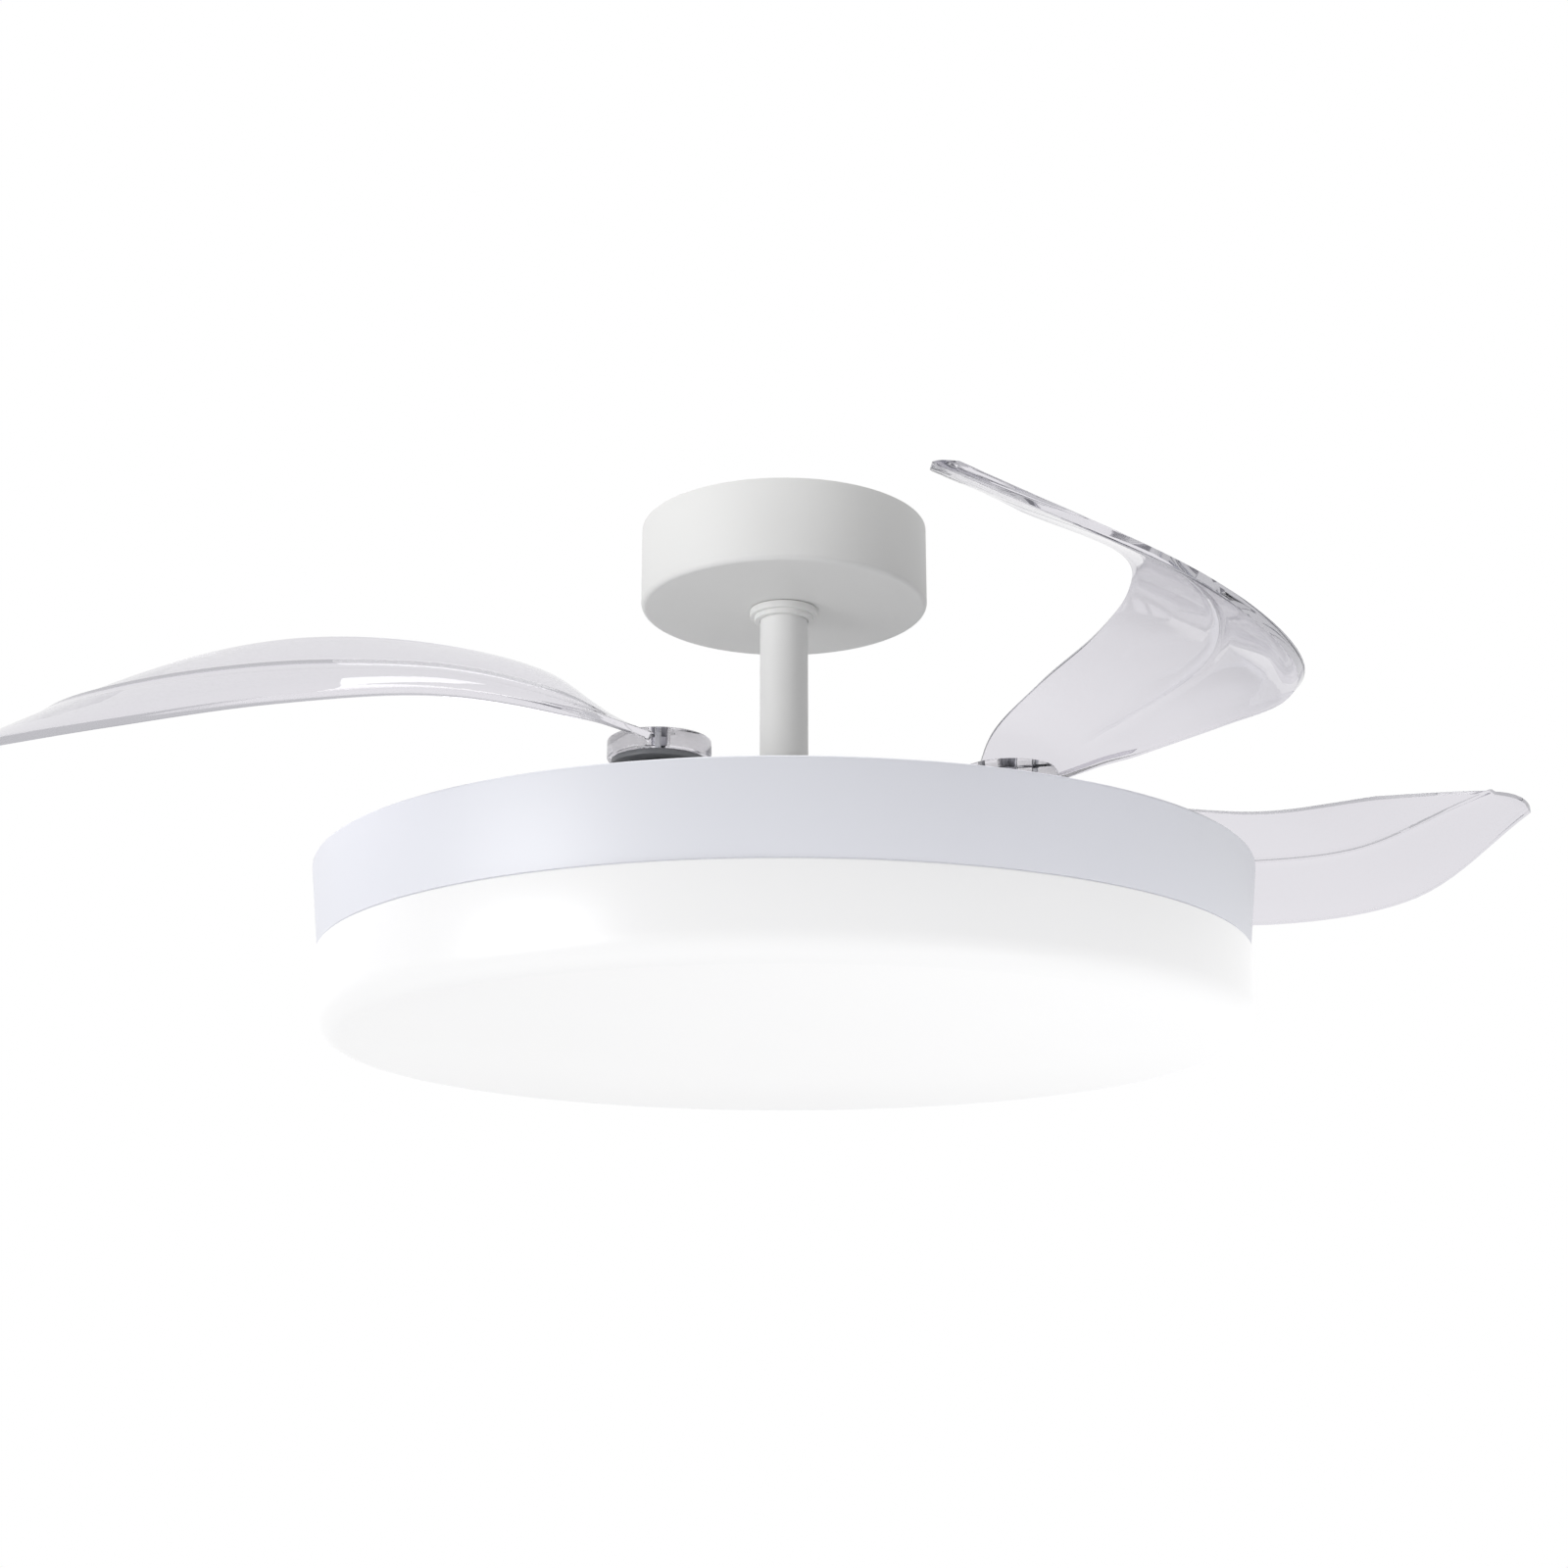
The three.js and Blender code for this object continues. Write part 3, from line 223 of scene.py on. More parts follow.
def turned(name, corners, steps=TURNED_STEPS, closed=True):
    """A piece turned about the fan's axis: one vertex is drawn along its outline, then spun."""
    outline = eased(corners)
    if closed:
        outline.append(outline[0])
    bpy.ops.object.select_all(action="DESELECT")
    bpy.ops.mesh.primitive_plane_add(size=MM)
    piece = bpy.context.object
    piece.name = name
    bpy.ops.object.mode_set(mode="EDIT")
    bpy.ops.mesh.merge(type="CENTER")
    bpy.ops.transform.translate(value=(outline[0].x, 0, outline[0].y))
    for here, there in zip(outline, outline[1:]):
        step = (there.x - here.x, 0, there.y - here.y)
        bpy.ops.mesh.extrude_region_move(TRANSFORM_OT_translate={"value": step})
    bpy.ops.mesh.select_all(action="SELECT")
    bpy.ops.mesh.spin(steps=steps, angle=2 * math.pi, center=(0, 0, 0), axis=(0, 0, 1))
    bpy.ops.mesh.select_all(action="SELECT")
    bpy.ops.mesh.remove_doubles(threshold=SEAM_GAP)
    bpy.ops.mesh.normals_make_consistent(inside=False)
    bpy.ops.object.mode_set(mode="OBJECT")
    bpy.ops.object.shade_smooth_by_angle(angle=SMOOTH_ANGLE)
    return piece


def skin_group():
    """Colour mottle, roughness drift and fine grain of a moulded or coated surface."""
    group = bpy.data.node_groups.new("surface_skin", "ShaderNodeTree")
    for name, kind in (
        ("Colour", "Color"), ("Mottle", "Float"), ("Roughness", "Float"), ("Drift", "Float"),
        ("Grain Size", "Float"),
    ):
        group.interface.new_socket(name=name, in_out="INPUT", socket_type=f"NodeSocket{kind}")
    for name, kind in (("Colour", "Color"), ("Roughness", "Float"), ("Height", "Float")):
        group.interface.new_socket(name=name, in_out="OUTPUT", socket_type=f"NodeSocket{kind}")
    into = group.nodes.new("NodeGroupInput")
    out = group.nodes.new("NodeGroupOutput")
    place = group.nodes.new("ShaderNodeTexCoord")
    cloud = group.nodes.new("ShaderNodeTexNoise")
    cloud.inputs["Scale"].default_value = MOTTLE_SCALE
    cloud.inputs["Detail"].default_value = MOTTLE_DETAIL
    group.links.new(place.outputs["Object"], cloud.inputs["Vector"])
    centred = sum_node(group, "SUBTRACT", cloud.outputs["Fac"], 0.5)
    shade = sum_node(group, "MULTIPLY_ADD", centred, into.outputs["Mottle"], 1.0)
    tinted = group.nodes.new("ShaderNodeVectorMath")
    tinted.operation = "SCALE"
    group.links.new(into.outputs["Colour"], tinted.inputs[0])
    group.links.new(shade, tinted.inputs["Scale"])
    group.links.new(tinted.outputs[0], out.inputs["Colour"])
    rough = sum_node(group, "MULTIPLY_ADD", centred, into.outputs["Drift"], into.outputs["Roughness"])
    group.links.new(rough, out.inputs["Roughness"])
    grain = group.nodes.new("ShaderNodeTexNoise")
    grain.inputs["Detail"].default_value = GRAIN_DETAIL
    group.links.new(place.outputs["Object"], grain.inputs["Vector"])
    group.links.new(into.outputs["Grain Size"], grain.inputs["Scale"])
    group.links.new(grain.outputs["Fac"], out.inputs["Height"])
    return group


surface_skin = skin_group()


def skinned(name, colour, roughness, mottle=0.03, drift=0.08, grain=1200.0, depth=0.02, metallic=0.0):
    """A material with the skin's mottle, drift and grain over one colour. The depth is in millimetres."""
    material = bpy.data.materials.new(name)
    material.use_nodes = True
    tree = material.node_tree
    shader = tree.nodes["Principled BSDF"]
    shader.inputs["Metallic"].default_value = metallic
    skin = tree.nodes.new("ShaderNodeGroup")
    skin.node_tree = surface_skin
    skin.inputs["Colour"].default_value = (*colour, 1)
    skin.inputs["Mottle"].default_value = mottle
    skin.inputs["Roughness"].default_value = roughness
    skin.inputs["Drift"].default_value = drift
    skin.inputs["Grain Size"].default_value = grain
    bump = tree.nodes.new("ShaderNodeBump")
    bump.inputs["Strength"].default_value = GRAIN_STRENGTH
    bump.inputs["Distance"].default_value = depth * MM
    tree.links.new(skin.outputs["Colour"], shader.inputs["Base Color"])
    tree.links.new(skin.outputs["Roughness"], shader.inputs["Roughness"])
    tree.links.new(skin.outputs["Height"], bump.inputs["Height"])
    tree.links.new(bump.outputs["Normal"], shader.inputs["Normal"])
    return material


def dress(piece, material, body, slot, *replaced):
    """Gives a new piece its material and its body, and hides the nodes it stands for. The slot is not
    used.
    """
    piece.data.materials.clear()
    piece.data.materials.append(material)
    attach(piece, body)
    if replaced:
        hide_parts(*replaced)
    return piece


canopy_paint = skinned("canopy_paint", (0.84, 0.84, 0.83), 0.55, mottle=0.02, grain=1500.0, depth=0.03)
canopy_low, canopy_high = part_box("canopy")
rod_low, rod_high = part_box("downrod")
canopy_radius = canopy_high.x
rod_radius = rod_high.x
rod_hole = rod_radius + ROD_HOLE_GAP
canopy = turned("canopy_cup", [
    (canopy_radius, canopy_high.z, 0),
    (canopy_radius, canopy_low.z, CANOPY_ROUND),
    (rod_hole, canopy_low.z, 0),
    (rod_hole, canopy_low.z + CANOPY_WALL, 0),
    (canopy_radius - CANOPY_WALL, canopy_low.z + CANOPY_WALL, CANOPY_ROUND - CANOPY_WALL),
    (canopy_radius - CANOPY_WALL, canopy_high.z, 0),
])
dress(canopy, canopy_paint, "fixed", "white_paint", "canopy")

# ---- Collar ----
# A turned ring with a step, in the canopy's paint. It slides on the rod under the canopy, and a grub
# screw behind the rod holds it.
COLLAR_STEP = 2.5 * MM
COLLAR_STEP_HEIGHT = 2.5 * MM
COLLAR_EASE = 0.5 * MM
SLIDE_GAP = 0.3 * MM
NARROW_STEPS = 96

collar_low, collar_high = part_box("canopy_collar")
collar_radius = collar_high.x
rod_bore = rod_radius + SLIDE_GAP
collar = turned("canopy_collar_ring", [
    (rod_bore, collar_low.z, 0),
    (collar_radius - COLLAR_STEP, collar_low.z, COLLAR_EASE),
    (collar_radius - COLLAR_STEP, collar_low.z + COLLAR_STEP_HEIGHT, 0),
    (collar_radius, collar_low.z + COLLAR_STEP_HEIGHT, COLLAR_EASE),
    (collar_radius, collar_high.z, COLLAR_EASE),
    (rod_bore, collar_high.z, 0),
], steps=NARROW_STEPS)
dress(collar, canopy_paint, "fixed", "white_paint", "canopy_collar")

# ---- Ceiling bracket and ball ----
# A zinc-plated strap screws to the ceiling, and a nylon ball on the rod sits in its seat. A steel pin
# through ball and rod carries the fan.
BALL_ABOVE = 9 * MM
BALL_PROUD = 0.2 * MM
BALL_ARC_STEPS = 24
BALL_STEPS = 64
THROUGH = 60 * MM
HARD_EDGE = math.radians(40)
FLAT_ANGLE = math.radians(1)
WELD_GAP = 0.002 * MM
ROUND_SIDES = 24

zinc = skinned("zinc_plate", (0.62, 0.64, 0.66), 0.38, mottle=0.10, drift=0.2, grain=500.0, metallic=1.0)
bright_steel = skinned("bright_steel", (0.56, 0.57, 0.58), 0.28, mottle=0.04, drift=0.1, metallic=1.0)
black_nylon = skinned("black_nylon", (0.03, 0.03, 0.032), 0.5, mottle=0.1)


def copied(piece, name):
    """A copy of a piece, with its own mesh."""
    bpy.ops.object.select_all(action="DESELECT")
    piece.select_set(True)
    bpy.context.view_layer.objects.active = piece
    bpy.ops.object.duplicate(linked=False)
    bpy.context.object.name = name
    return bpy.context.object


def rounded(piece, width, segments, sharp=HARD_EDGE):
    """Rounds the active piece's edges that are sharper than the given angle."""
    ease = piece.modifiers.new("rounded", "BEVEL")
    ease.width = width
    ease.segments = segments
    ease.angle_limit = sharp
    bpy.ops.object.modifier_apply(modifier=ease.name)
    return piece


def formed(node, material, slot, edge, segments=2):
    """A copy of a model's piece with its flat faces made whole and its hard edges rounded."""
    body = nodes[node].parent.name.removeprefix("body:")
    piece = copied(nodes[node], f"{node}_formed")
    bpy.ops.object.mode_set(mode="EDIT")
    bpy.ops.mesh.select_all(action="SELECT")
    bpy.ops.mesh.remove_doubles(threshold=WELD_GAP)
    bpy.ops.mesh.dissolve_limited(angle_limit=FLAT_ANGLE)
    bpy.ops.object.mode_set(mode="OBJECT")
    rounded(piece, edge, segments)
    bpy.ops.object.shade_smooth_by_angle(angle=SMOOTH_ANGLE)
    return dress(piece, material, body, slot, node)


def carved(piece, tool, operation="DIFFERENCE"):
    """Takes the tool's shape out of a piece, or adds it with UNION, and puts the tool away."""
    bpy.context.view_layer.objects.active = piece
    cut = piece.modifiers.new("carved", "BOOLEAN")
    cut.object = tool
    cut.operation = operation
    bpy.ops.object.modifier_apply(modifier=cut.name)
    bpy.data.objects.remove(tool)


def bored(piece, radius, centre, depth, turn=(0, 0, 0), sides=ROUND_SIDES):
    """Bores a round hole, or a six-sided socket, along Z unless turned."""
    bpy.ops.object.select_all(action="DESELECT")
    bpy.ops.mesh.primitive_cylinder_add(
        vertices=sides, radius=radius, depth=depth, location=centre, rotation=turn)
    carved(piece, bpy.context.object)


formed("ceiling_bracket", zinc, "zinc", edge=0.7 * MM)
ball_low, ball_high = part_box("hanger_ball")
pin_low, pin_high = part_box("hanger_pin")
ball_radius = ball_high.x + BALL_PROUD
ball_centre = ball_high.z - BALL_ABOVE
low_turn = -math.asin((ball_centre - ball_low.z) / ball_radius)
high_turn = math.asin(BALL_ABOVE / ball_radius)
arc = []
for k in range(BALL_ARC_STEPS + 1):
    turn = low_turn + (high_turn - low_turn) * k / BALL_ARC_STEPS
    arc.append((ball_radius * math.cos(turn), ball_centre + ball_radius * math.sin(turn), 0))
ball = turned("hanger_ball_turned", [
    (rod_bore, ball_low.z, 0),
    *arc,
    (rod_bore, ball_high.z, 0),
], steps=BALL_STEPS)
pin_z = (pin_low.z + pin_high.z) / 2
bored(ball, pin_high.z - pin_z + SLIDE_GAP, (0, 0, pin_z), THROUGH, turn=(0, math.pi / 2, 0))
dress(ball, black_nylon, "fixed", "black_plastic", "hanger_ball")
formed("hanger_pin", bright_steel, "steel", edge=0.5 * MM)
formed("collar_grub_screw", bright_steel, "steel", edge=0.2 * MM)

# ---- Receiver, terminals and lead ----
# The receiver and the terminal block are white mouldings that hide in the canopy beside the bracket.
# The receiver has vents on top, and the block has a brass screw in each well with a wire hole beside
# it. The lead is black flex that runs down inside the rod.
VENTS = 9
VENT_PITCH = 4.4 * MM
VENT_SIZE = (2 * MM, 14 * MM, 1.2 * MM)
TERMINAL_PITCH = 7 * MM
WELL_RADIUS = 2.6 * MM
WELL_DEPTH = 4 * MM
WIRE_HOLE_RADIUS = 1.8 * MM
WIRE_HOLE_DEPTH = 8 * MM
TERMINAL_SCREW_RADIUS = 2.2 * MM
TERMINAL_SCREW_HEIGHT = 2 * MM
SCREW_SIDES = 32
DOME_SHARE = 0.35
RECESS_LENGTH = 1.2
RECESS_WIDTH = 0.3
RECESS_UP = 0.6

brass = skinned("brass", (0.62, 0.43, 0.16), 0.35, mottle=0.08, metallic=1.0)
white_moulding = skinned("white_moulding", (0.82, 0.82, 0.81), 0.42)
black_flex = skinned("black_flex", (0.02, 0.02, 0.022), 0.55, mottle=0.1)


def finish_node(name, material):
    """Gives a piece that comes straight from the model its material."""
    nodes[name].data.materials.clear()
    nodes[name].data.materials.append(material)


def middle_of(name):
    """The middle of a model's piece."""
    low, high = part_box(name)
    return (low + high) / 2


def slotted(piece, size, centre):
    """Cuts a straight slot, a box of the given size."""
    bpy.ops.object.select_all(action="DESELECT")
    bpy.ops.mesh.primitive_cube_add(size=1, location=centre, scale=size)
    carved(piece, bpy.context.object)


def domed_disc(radius, height, centre, sides, dome, segments):
    """An upright disc with a rounded rim, its place in its mesh."""
    bpy.ops.object.select_all(action="DESELECT")
    bpy.ops.mesh.primitive_cylinder_add(vertices=sides, radius=radius, depth=height, location=centre)
    bpy.ops.object.transform_apply(location=True)
    return rounded(bpy.context.object, dome, segments)


def joined(pieces):
    """Several copies made one piece, the first."""
    bpy.ops.object.select_all(action="DESELECT")
    for piece in pieces:
        piece.select_set(True)
    bpy.context.view_layer.objects.active = pieces[0]
    bpy.ops.object.join()
    return pieces[0]


def screw_heads(name, material, body, radius, height, spots):
    """Pan-head screws with a cross recess, as one piece: one is modelled, then copied to each spot."""
    x, y, z = spots[0]
    head = domed_disc(radius, height, spots[0], SCREW_SIDES, height * DOME_SHARE, 3)
    head.name = name
    long, wide = RECESS_LENGTH * radius, RECESS_WIDTH * radius
    for size in ((long, wide, height), (wide, long, height)):
        slotted(head, size, (x, y, z + RECESS_UP * height))
    heads = [head]
    for spot in spots[1:]:
        copy = copied(head, name)
        copy.data.transform(Matrix.Translation(Vector(spot) - Vector(spots[0])))
        heads.append(copy)
    joined(heads)
    bpy.ops.object.shade_smooth_by_angle(angle=SMOOTH_ANGLE)
    dress(head, material, body, "steel")


receiver = formed("receiver_box", white_moulding, "white_plastic", edge=1.0 * MM, segments=3)
receiver_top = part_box("receiver_box")[1].z
receiver_middle = middle_of("receiver_box")
for k in range(VENTS):
    x = receiver_middle.x + (k - (VENTS - 1) / 2) * VENT_PITCH
    slotted(receiver, VENT_SIZE, (x, receiver_middle.y, receiver_top))
terminals = formed("terminal_block", white_moulding, "white_plastic", edge=0.8 * MM)
terminal_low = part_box("terminal_block")[0]
terminal_middle = middle_of("terminal_block")
terminal_spots = []
for k in (-1, 0, 1):
    x = terminal_middle.x + k * TERMINAL_PITCH
    bored(terminals, WELL_RADIUS, (x, terminal_middle.y, terminal_low.z), WELL_DEPTH)
    wire_way = (x, terminal_low.y, terminal_middle.z)
    bored(terminals, WIRE_HOLE_RADIUS, wire_way, WIRE_HOLE_DEPTH, turn=(math.pi / 2, 0, 0))
    terminal_spots.append((x, terminal_middle.y, terminal_low.z + WELL_DEPTH / 2))
screw_heads(
    "terminal_screws", brass, "fixed", TERMINAL_SCREW_RADIUS, TERMINAL_SCREW_HEIGHT, terminal_spots)
finish_node("lead", black_flex)

# ---- Down rod and coupling ----
# A steel pipe in the same white paint, from the ball down to a turned coupling on the motor's shaft.
# A pin through each end holds it, and a nut under the drum's pan holds the shaft's foot.
ROD_WALL = 2.5 * MM
COUPLING_EASE = 1.2 * MM
SHAFT_RADIUS = 8.5 * MM
SHAFT_GAP = 0.3 * MM

rod_paint = skinned("rod_paint", (0.84, 0.84, 0.835), 0.56, mottle=0.02, grain=1500.0, depth=0.02)
rod = turned("down_rod_pipe", [
    (rod_radius - ROD_WALL, rod_low.z, 0),
    (rod_radius, rod_low.z, 0),
    (rod_radius, rod_high.z, 0),
    (rod_radius - ROD_WALL, rod_high.z, 0),
], steps=NARROW_STEPS)
dress(rod, rod_paint, "fixed", "white_paint", "downrod")

coupling_low, coupling_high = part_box("rod_coupling")
coupling_radius = coupling_high.x
shaft_bore = SHAFT_RADIUS + SHAFT_GAP
coupling_step = rod_low.z - SLIDE_GAP
coupling = turned("rod_coupling_body", [
    (shaft_bore, coupling_low.z, 0),
    (coupling_radius, coupling_low.z, COUPLING_EASE),
    (coupling_radius, coupling_high.z, COUPLING_EASE),
    (rod_bore, coupling_high.z, 0),
    (rod_bore, coupling_step, 0),
    (shaft_bore, coupling_step, 0),
], steps=NARROW_STEPS)
dress(coupling, rod_paint, "fixed", "white_paint", "rod_coupling")
for name in ("rod_pin", "shaft_pin", "stator_shaft"):
    formed(name, bright_steel, "steel", edge=0.5 * MM)
formed("shaft_nut", zinc, "zinc", edge=0.8 * MM)

# ---- Motor ----
# An outer-rotor motor: the can turns with its magnets on two bearings round the fixed shaft, and
# the stator with its copper stays still inside. The upper half of the can is painted white, and
# four screws hold it to the lower half.
CAP_EDGE = 3 * MM
CAP_BORE = 9.1 * MM
CAP_WALL = 2.5 * MM
CAP_SCREW_IN = 11 * MM
CAP_SCREW_TURN = math.radians(45)
SCREW_RADIUS = 3 * MM
SCREW_HEIGHT = 1.6 * MM
SCREW_PROUD = 0.3 * MM

turned_aluminium = skinned("turned_aluminium", (0.70, 0.71, 0.72), 0.35, mottle=0.05, metallic=1.0)
copper_wire = skinned(
    "copper_wire", (0.60, 0.22, 0.09), 0.35, mottle=0.2, grain=400.0, depth=0.3, metallic=1.0)
magnet_coat = skinned("magnet_coat", (0.06, 0.062, 0.068), 0.4, mottle=0.1, metallic=0.6)


def ring_of(count, radius, z, start=0.0):
    """Evenly spaced spots round the fan's axis."""
    turns = [start + 2 * math.pi * k / count for k in range(count)]
    return [(radius * math.cos(turn), radius * math.sin(turn), z) for turn in turns]


formed("rotor_base", turned_aluminium, "aluminium", edge=0.5 * MM)
formed("magnet_ring", magnet_coat, "magnet", edge=0.3 * MM)
formed("lower_bearing", bright_steel, "steel", edge=0.6 * MM)
formed("upper_bearing", bright_steel, "steel", edge=0.6 * MM)
formed("stator_core", bright_steel, "steel", edge=0.2 * MM)
formed("stator_winding", copper_wire, "copper", edge=1.3 * MM, segments=3)
cap_low, cap_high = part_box("rotor_cover")
cap_radius = cap_high.x
motor_cap = turned("motor_cap", [
    (CAP_BORE, cap_high.z, 0),
    (cap_radius, cap_high.z, CAP_EDGE),
    (cap_radius, cap_low.z, 0),
    (cap_radius - CAP_WALL, cap_low.z, 0),
    (cap_radius - CAP_WALL, cap_high.z - CAP_WALL, 0),
    (CAP_BORE, cap_high.z - CAP_WALL, 0),
])
dress(motor_cap, rod_paint, "rotor", "white_paint", "rotor_cover")
screw_sunk = SCREW_PROUD - SCREW_HEIGHT / 2
cap_spots = ring_of(4, cap_radius - CAP_SCREW_IN, cap_high.z + screw_sunk, CAP_SCREW_TURN)
screw_heads("motor_cap_screws", bright_steel, "rotor", SCREW_RADIUS, SCREW_HEIGHT, cap_spots)

# ---- Blade carrier, gears and hub cover ----
# A plate on the motor carries the four pivots and turns with it. A ring gear meshes with a toothed
# sector on each blade, so all four swing together, and a flat spring draws them in. The white cover
# keeps the dust out, with a round hole for each blade's neck.
HUB_WALL = 2 * MM
HUB_EASE = 1.5 * MM
NECK_HOLE_RADIUS = 15.84 * MM
NECK_HOLE_DEPTH = 20 * MM
NECK_HOLE_SIDES = 64
HUB_SCREW_IN = 7 * MM
HUB_SCREW_TURN = math.radians(17)
BOLT_SOCKET_RADIUS = 3.4 * MM
BOLT_SOCKET_DEPTH = 3.6 * MM
SCREW_SOCKET_RADIUS = 1.4 * MM
SCREW_SOCKET_DEPTH = 1.8 * MM

grey_acetal = skinned("grey_acetal", (0.15, 0.155, 0.165), 0.45, mottle=0.08)
formed("blade_carrier", zinc, "zinc", edge=0.4 * MM)
formed("sync_gear", grey_acetal, "grey_plastic", edge=0.3 * MM)
formed("return_spring", bright_steel, "steel", edge=0.1 * MM, segments=1)
hub_low, hub_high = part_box("hub_cover")
hub_radius = hub_high.x
hub_bore = cap_radius + SLIDE_GAP
hub_cover = turned("hub_cover_shell", [
    (hub_radius, hub_low.z, 0),
    (hub_radius, hub_high.z, HUB_EASE),
    (hub_bore, hub_high.z, 0),
    (hub_bore, hub_high.z - HUB_WALL, 0),
    (hub_radius - HUB_WALL, hub_high.z - HUB_WALL, 0),
    (hub_radius - HUB_WALL, hub_low.z, 0),
])
for k in (1, 2, 3, 4):
    pivot = middle_of(f"pivot_bolt_{k}")
    neck = (pivot.x, pivot.y, hub_high.z)
    bored(hub_cover, NECK_HOLE_RADIUS, neck, NECK_HOLE_DEPTH, sides=NECK_HOLE_SIDES)
dress(hub_cover, rod_paint, "rotor", "white_paint", "hub_cover")
hub_spots = ring_of(4, hub_radius - HUB_SCREW_IN, hub_high.z + screw_sunk, HUB_SCREW_TURN)
screw_heads("hub_cover_screws", bright_steel, "rotor", SCREW_RADIUS, SCREW_HEIGHT, hub_spots)


def socketed(node, edge, radius, depth):
    """A bolt or screw of the model with a six-sided socket in its head."""
    screw = formed(node, bright_steel, "steel", edge)
    middle = middle_of(node)
    bored(screw, radius, (middle.x, middle.y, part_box(node)[1].z), depth, sides=6)


for k in (1, 2, 3, 4):
    socketed(f"pivot_bolt_{k}", 0.4 * MM, BOLT_SOCKET_RADIUS, BOLT_SOCKET_DEPTH)
    formed(f"blade_{k}_bush", grey_acetal, "grey_plastic", edge=0.4 * MM)
    formed(f"blade_{k}_gear", grey_acetal, "grey_plastic", edge=0.4 * MM)
    for i in (1, 2):
        socketed(f"blade_{k}_screw_{i}", 0.3 * MM, SCREW_SOCKET_RADIUS, SCREW_SOCKET_DEPTH)

# ---- Blades ----
# Each blade is one clear moulding with a faint cool tint: a round boss on the pivot, and a sheet
# that sweeps out and rolls over, with a fold along it, and a rounded bead on its outer rim, which
# rolls down a little. Both edges are points in millimetres from the pivot, the root first.
INNER_EDGE = [
    (-17, 6, 1), (-10, -24, 18), (11, -53, 35), (33, -105, 43), (41, -168, 44), (29, -228, 38),
    (-20, -286, 34),
]
OUTER_EDGE = [
    (17, 6, 0), (34, -12, 1), (60, -42, 3), (94, -98, 2), (110, -168, -7), (96, -248, -14),
    (46, -322, -9), (-52, -365.7, 20),
]
BOSS_RADIUS = 26 * MM
BOSS_HEIGHT = 10 * MM
BOSS_EASE = 1.2 * MM
BOSS_BORE = 4.3 * MM
BOSS_SIDES = 96
BOSS_BORE_SIDES = 48
SHEET_THICKNESS = 2.6
BEAD_THICKNESS = 4.2
BEAD_START = 0.86
BEAD_FULL = 0.97
EDGE_POLISH = 0.9 * MM
EDGE_SHARP = math.radians(50)
CAMBER = 4
TIP_BULGE = 26
TIP_POWER = 8
RUN_STEP = 0.01
FOLD_HEIGHT = 1.4
FOLD_HALF_WIDTH = 2.4
FOLD_AT_ROOT = 0.74
FOLD_AT_TIP = 0.52
FOLD_START = 0.2
FOLD_RISEN = 0.3
FOLD_SETTLED = 0.8
RIM_START = 0.86
RIM_DROP = 1.6
GLASS_ROUGHNESS = 0.02
GLASS_IOR = 1.24
GLASS_BLEND = 0.35
GLASS_FACING = (0.80, 0.785, 0.825, 1)
# Painted shade: the blades' tint where they are seen edge on, darker than where they face the camera.
GLASS_EDGE_ON_PAINTED_SHADE = (0.56, 0.55, 0.59, 1)
TRAPPED_DEPTH = 4.5
TRAPPED_GREY = (0.6, 0.6, 0.62, 1)
BLADE_ROWS = 72
ACROSS = (
    0, 0.04, 0.1, 0.18, 0.27, 0.36, 0.43, 0.47, 0.49, 0.5,
    0.51, 0.53, 0.57, 0.64, 0.73, 0.82, 0.88, 0.93, 0.97, 1,
)


def along_curve(points, u):
    """A point on the smooth curve through the given ones, for u from 0 to 1."""
    place = u * (len(points) - 1)
    i = min(int(place), len(points) - 2)
    w = place - i
    p1, p2 = Vector(points[i]), Vector(points[i + 1])
    p0 = Vector(points[i - 1]) if i else 2 * p1 - p2
    p3 = Vector(points[i + 2]) if i + 2 < len(points) else 2 * p2 - p1
    d0, d1, d2 = (math.sqrt((b - a).length) for a, b in ((p0, p1), (p1, p2), (p2, p3)))
    t1 = ((p1 - p0) / d0 - (p2 - p0) / (d0 + d1) + (p2 - p1) / d1) * d1
    t2 = ((p2 - p1) / d1 - (p3 - p1) / (d1 + d2) + (p3 - p2) / d2) * d1
    return p1 + t1 * w + (3 * (p2 - p1) - 2 * t1 - t2) * w ** 2 + (2 * (p1 - p2) + t1 + t2) * w ** 3


def smooth_step(value, low, high):
    """0 below low, 1 above high, and a smooth rise between."""
    t = max(0.0, min(1.0, (value - low) / (high - low)))
    return t * t * (3 - 2 * t)


def sheet_point(u, s):
    """A point of the sheet's middle skin, in millimetres from the pivot. s is 0.5 on the fold."""
    fold = FOLD_AT_ROOT + (FOLD_AT_TIP - FOLD_AT_ROOT) * smooth_step(u, FOLD_START, FOLD_SETTLED)
    v = 2 * s * fold if s <= 0.5 else fold + (2 * s - 1) * (1 - fold)
    inner, outer = along_curve(INNER_EDGE, u), along_curve(OUTER_EDGE, u)
    point = inner.lerp(outer, v)
    ahead = min(1.0, u + RUN_STEP)
    behind = ahead - 2 * RUN_STEP
    run_in = (along_curve(INNER_EDGE, ahead) - along_curve(INNER_EDGE, behind)).normalized()
    run_out = (along_curve(OUTER_EDGE, ahead) - along_curve(OUTER_EDGE, behind)).normalized()
    run = run_in.lerp(run_out, v)
    run.z = 0
    bow = 4 * v * (1 - v)
    point += run.normalized() * TIP_BULGE * bow * u ** TIP_POWER
    point.z += CAMBER * bow * math.sin(math.pi * u)
    off_fold = abs(v - fold) * (outer - inner).length
    rise = smooth_step(u, FOLD_START, FOLD_RISEN)
    point.z += rise * FOLD_HEIGHT * max(0.0, 1 - off_fold / FOLD_HALF_WIDTH)
    point.z -= rise * RIM_DROP * smooth_step(v, RIM_START, 1.0)
    return point


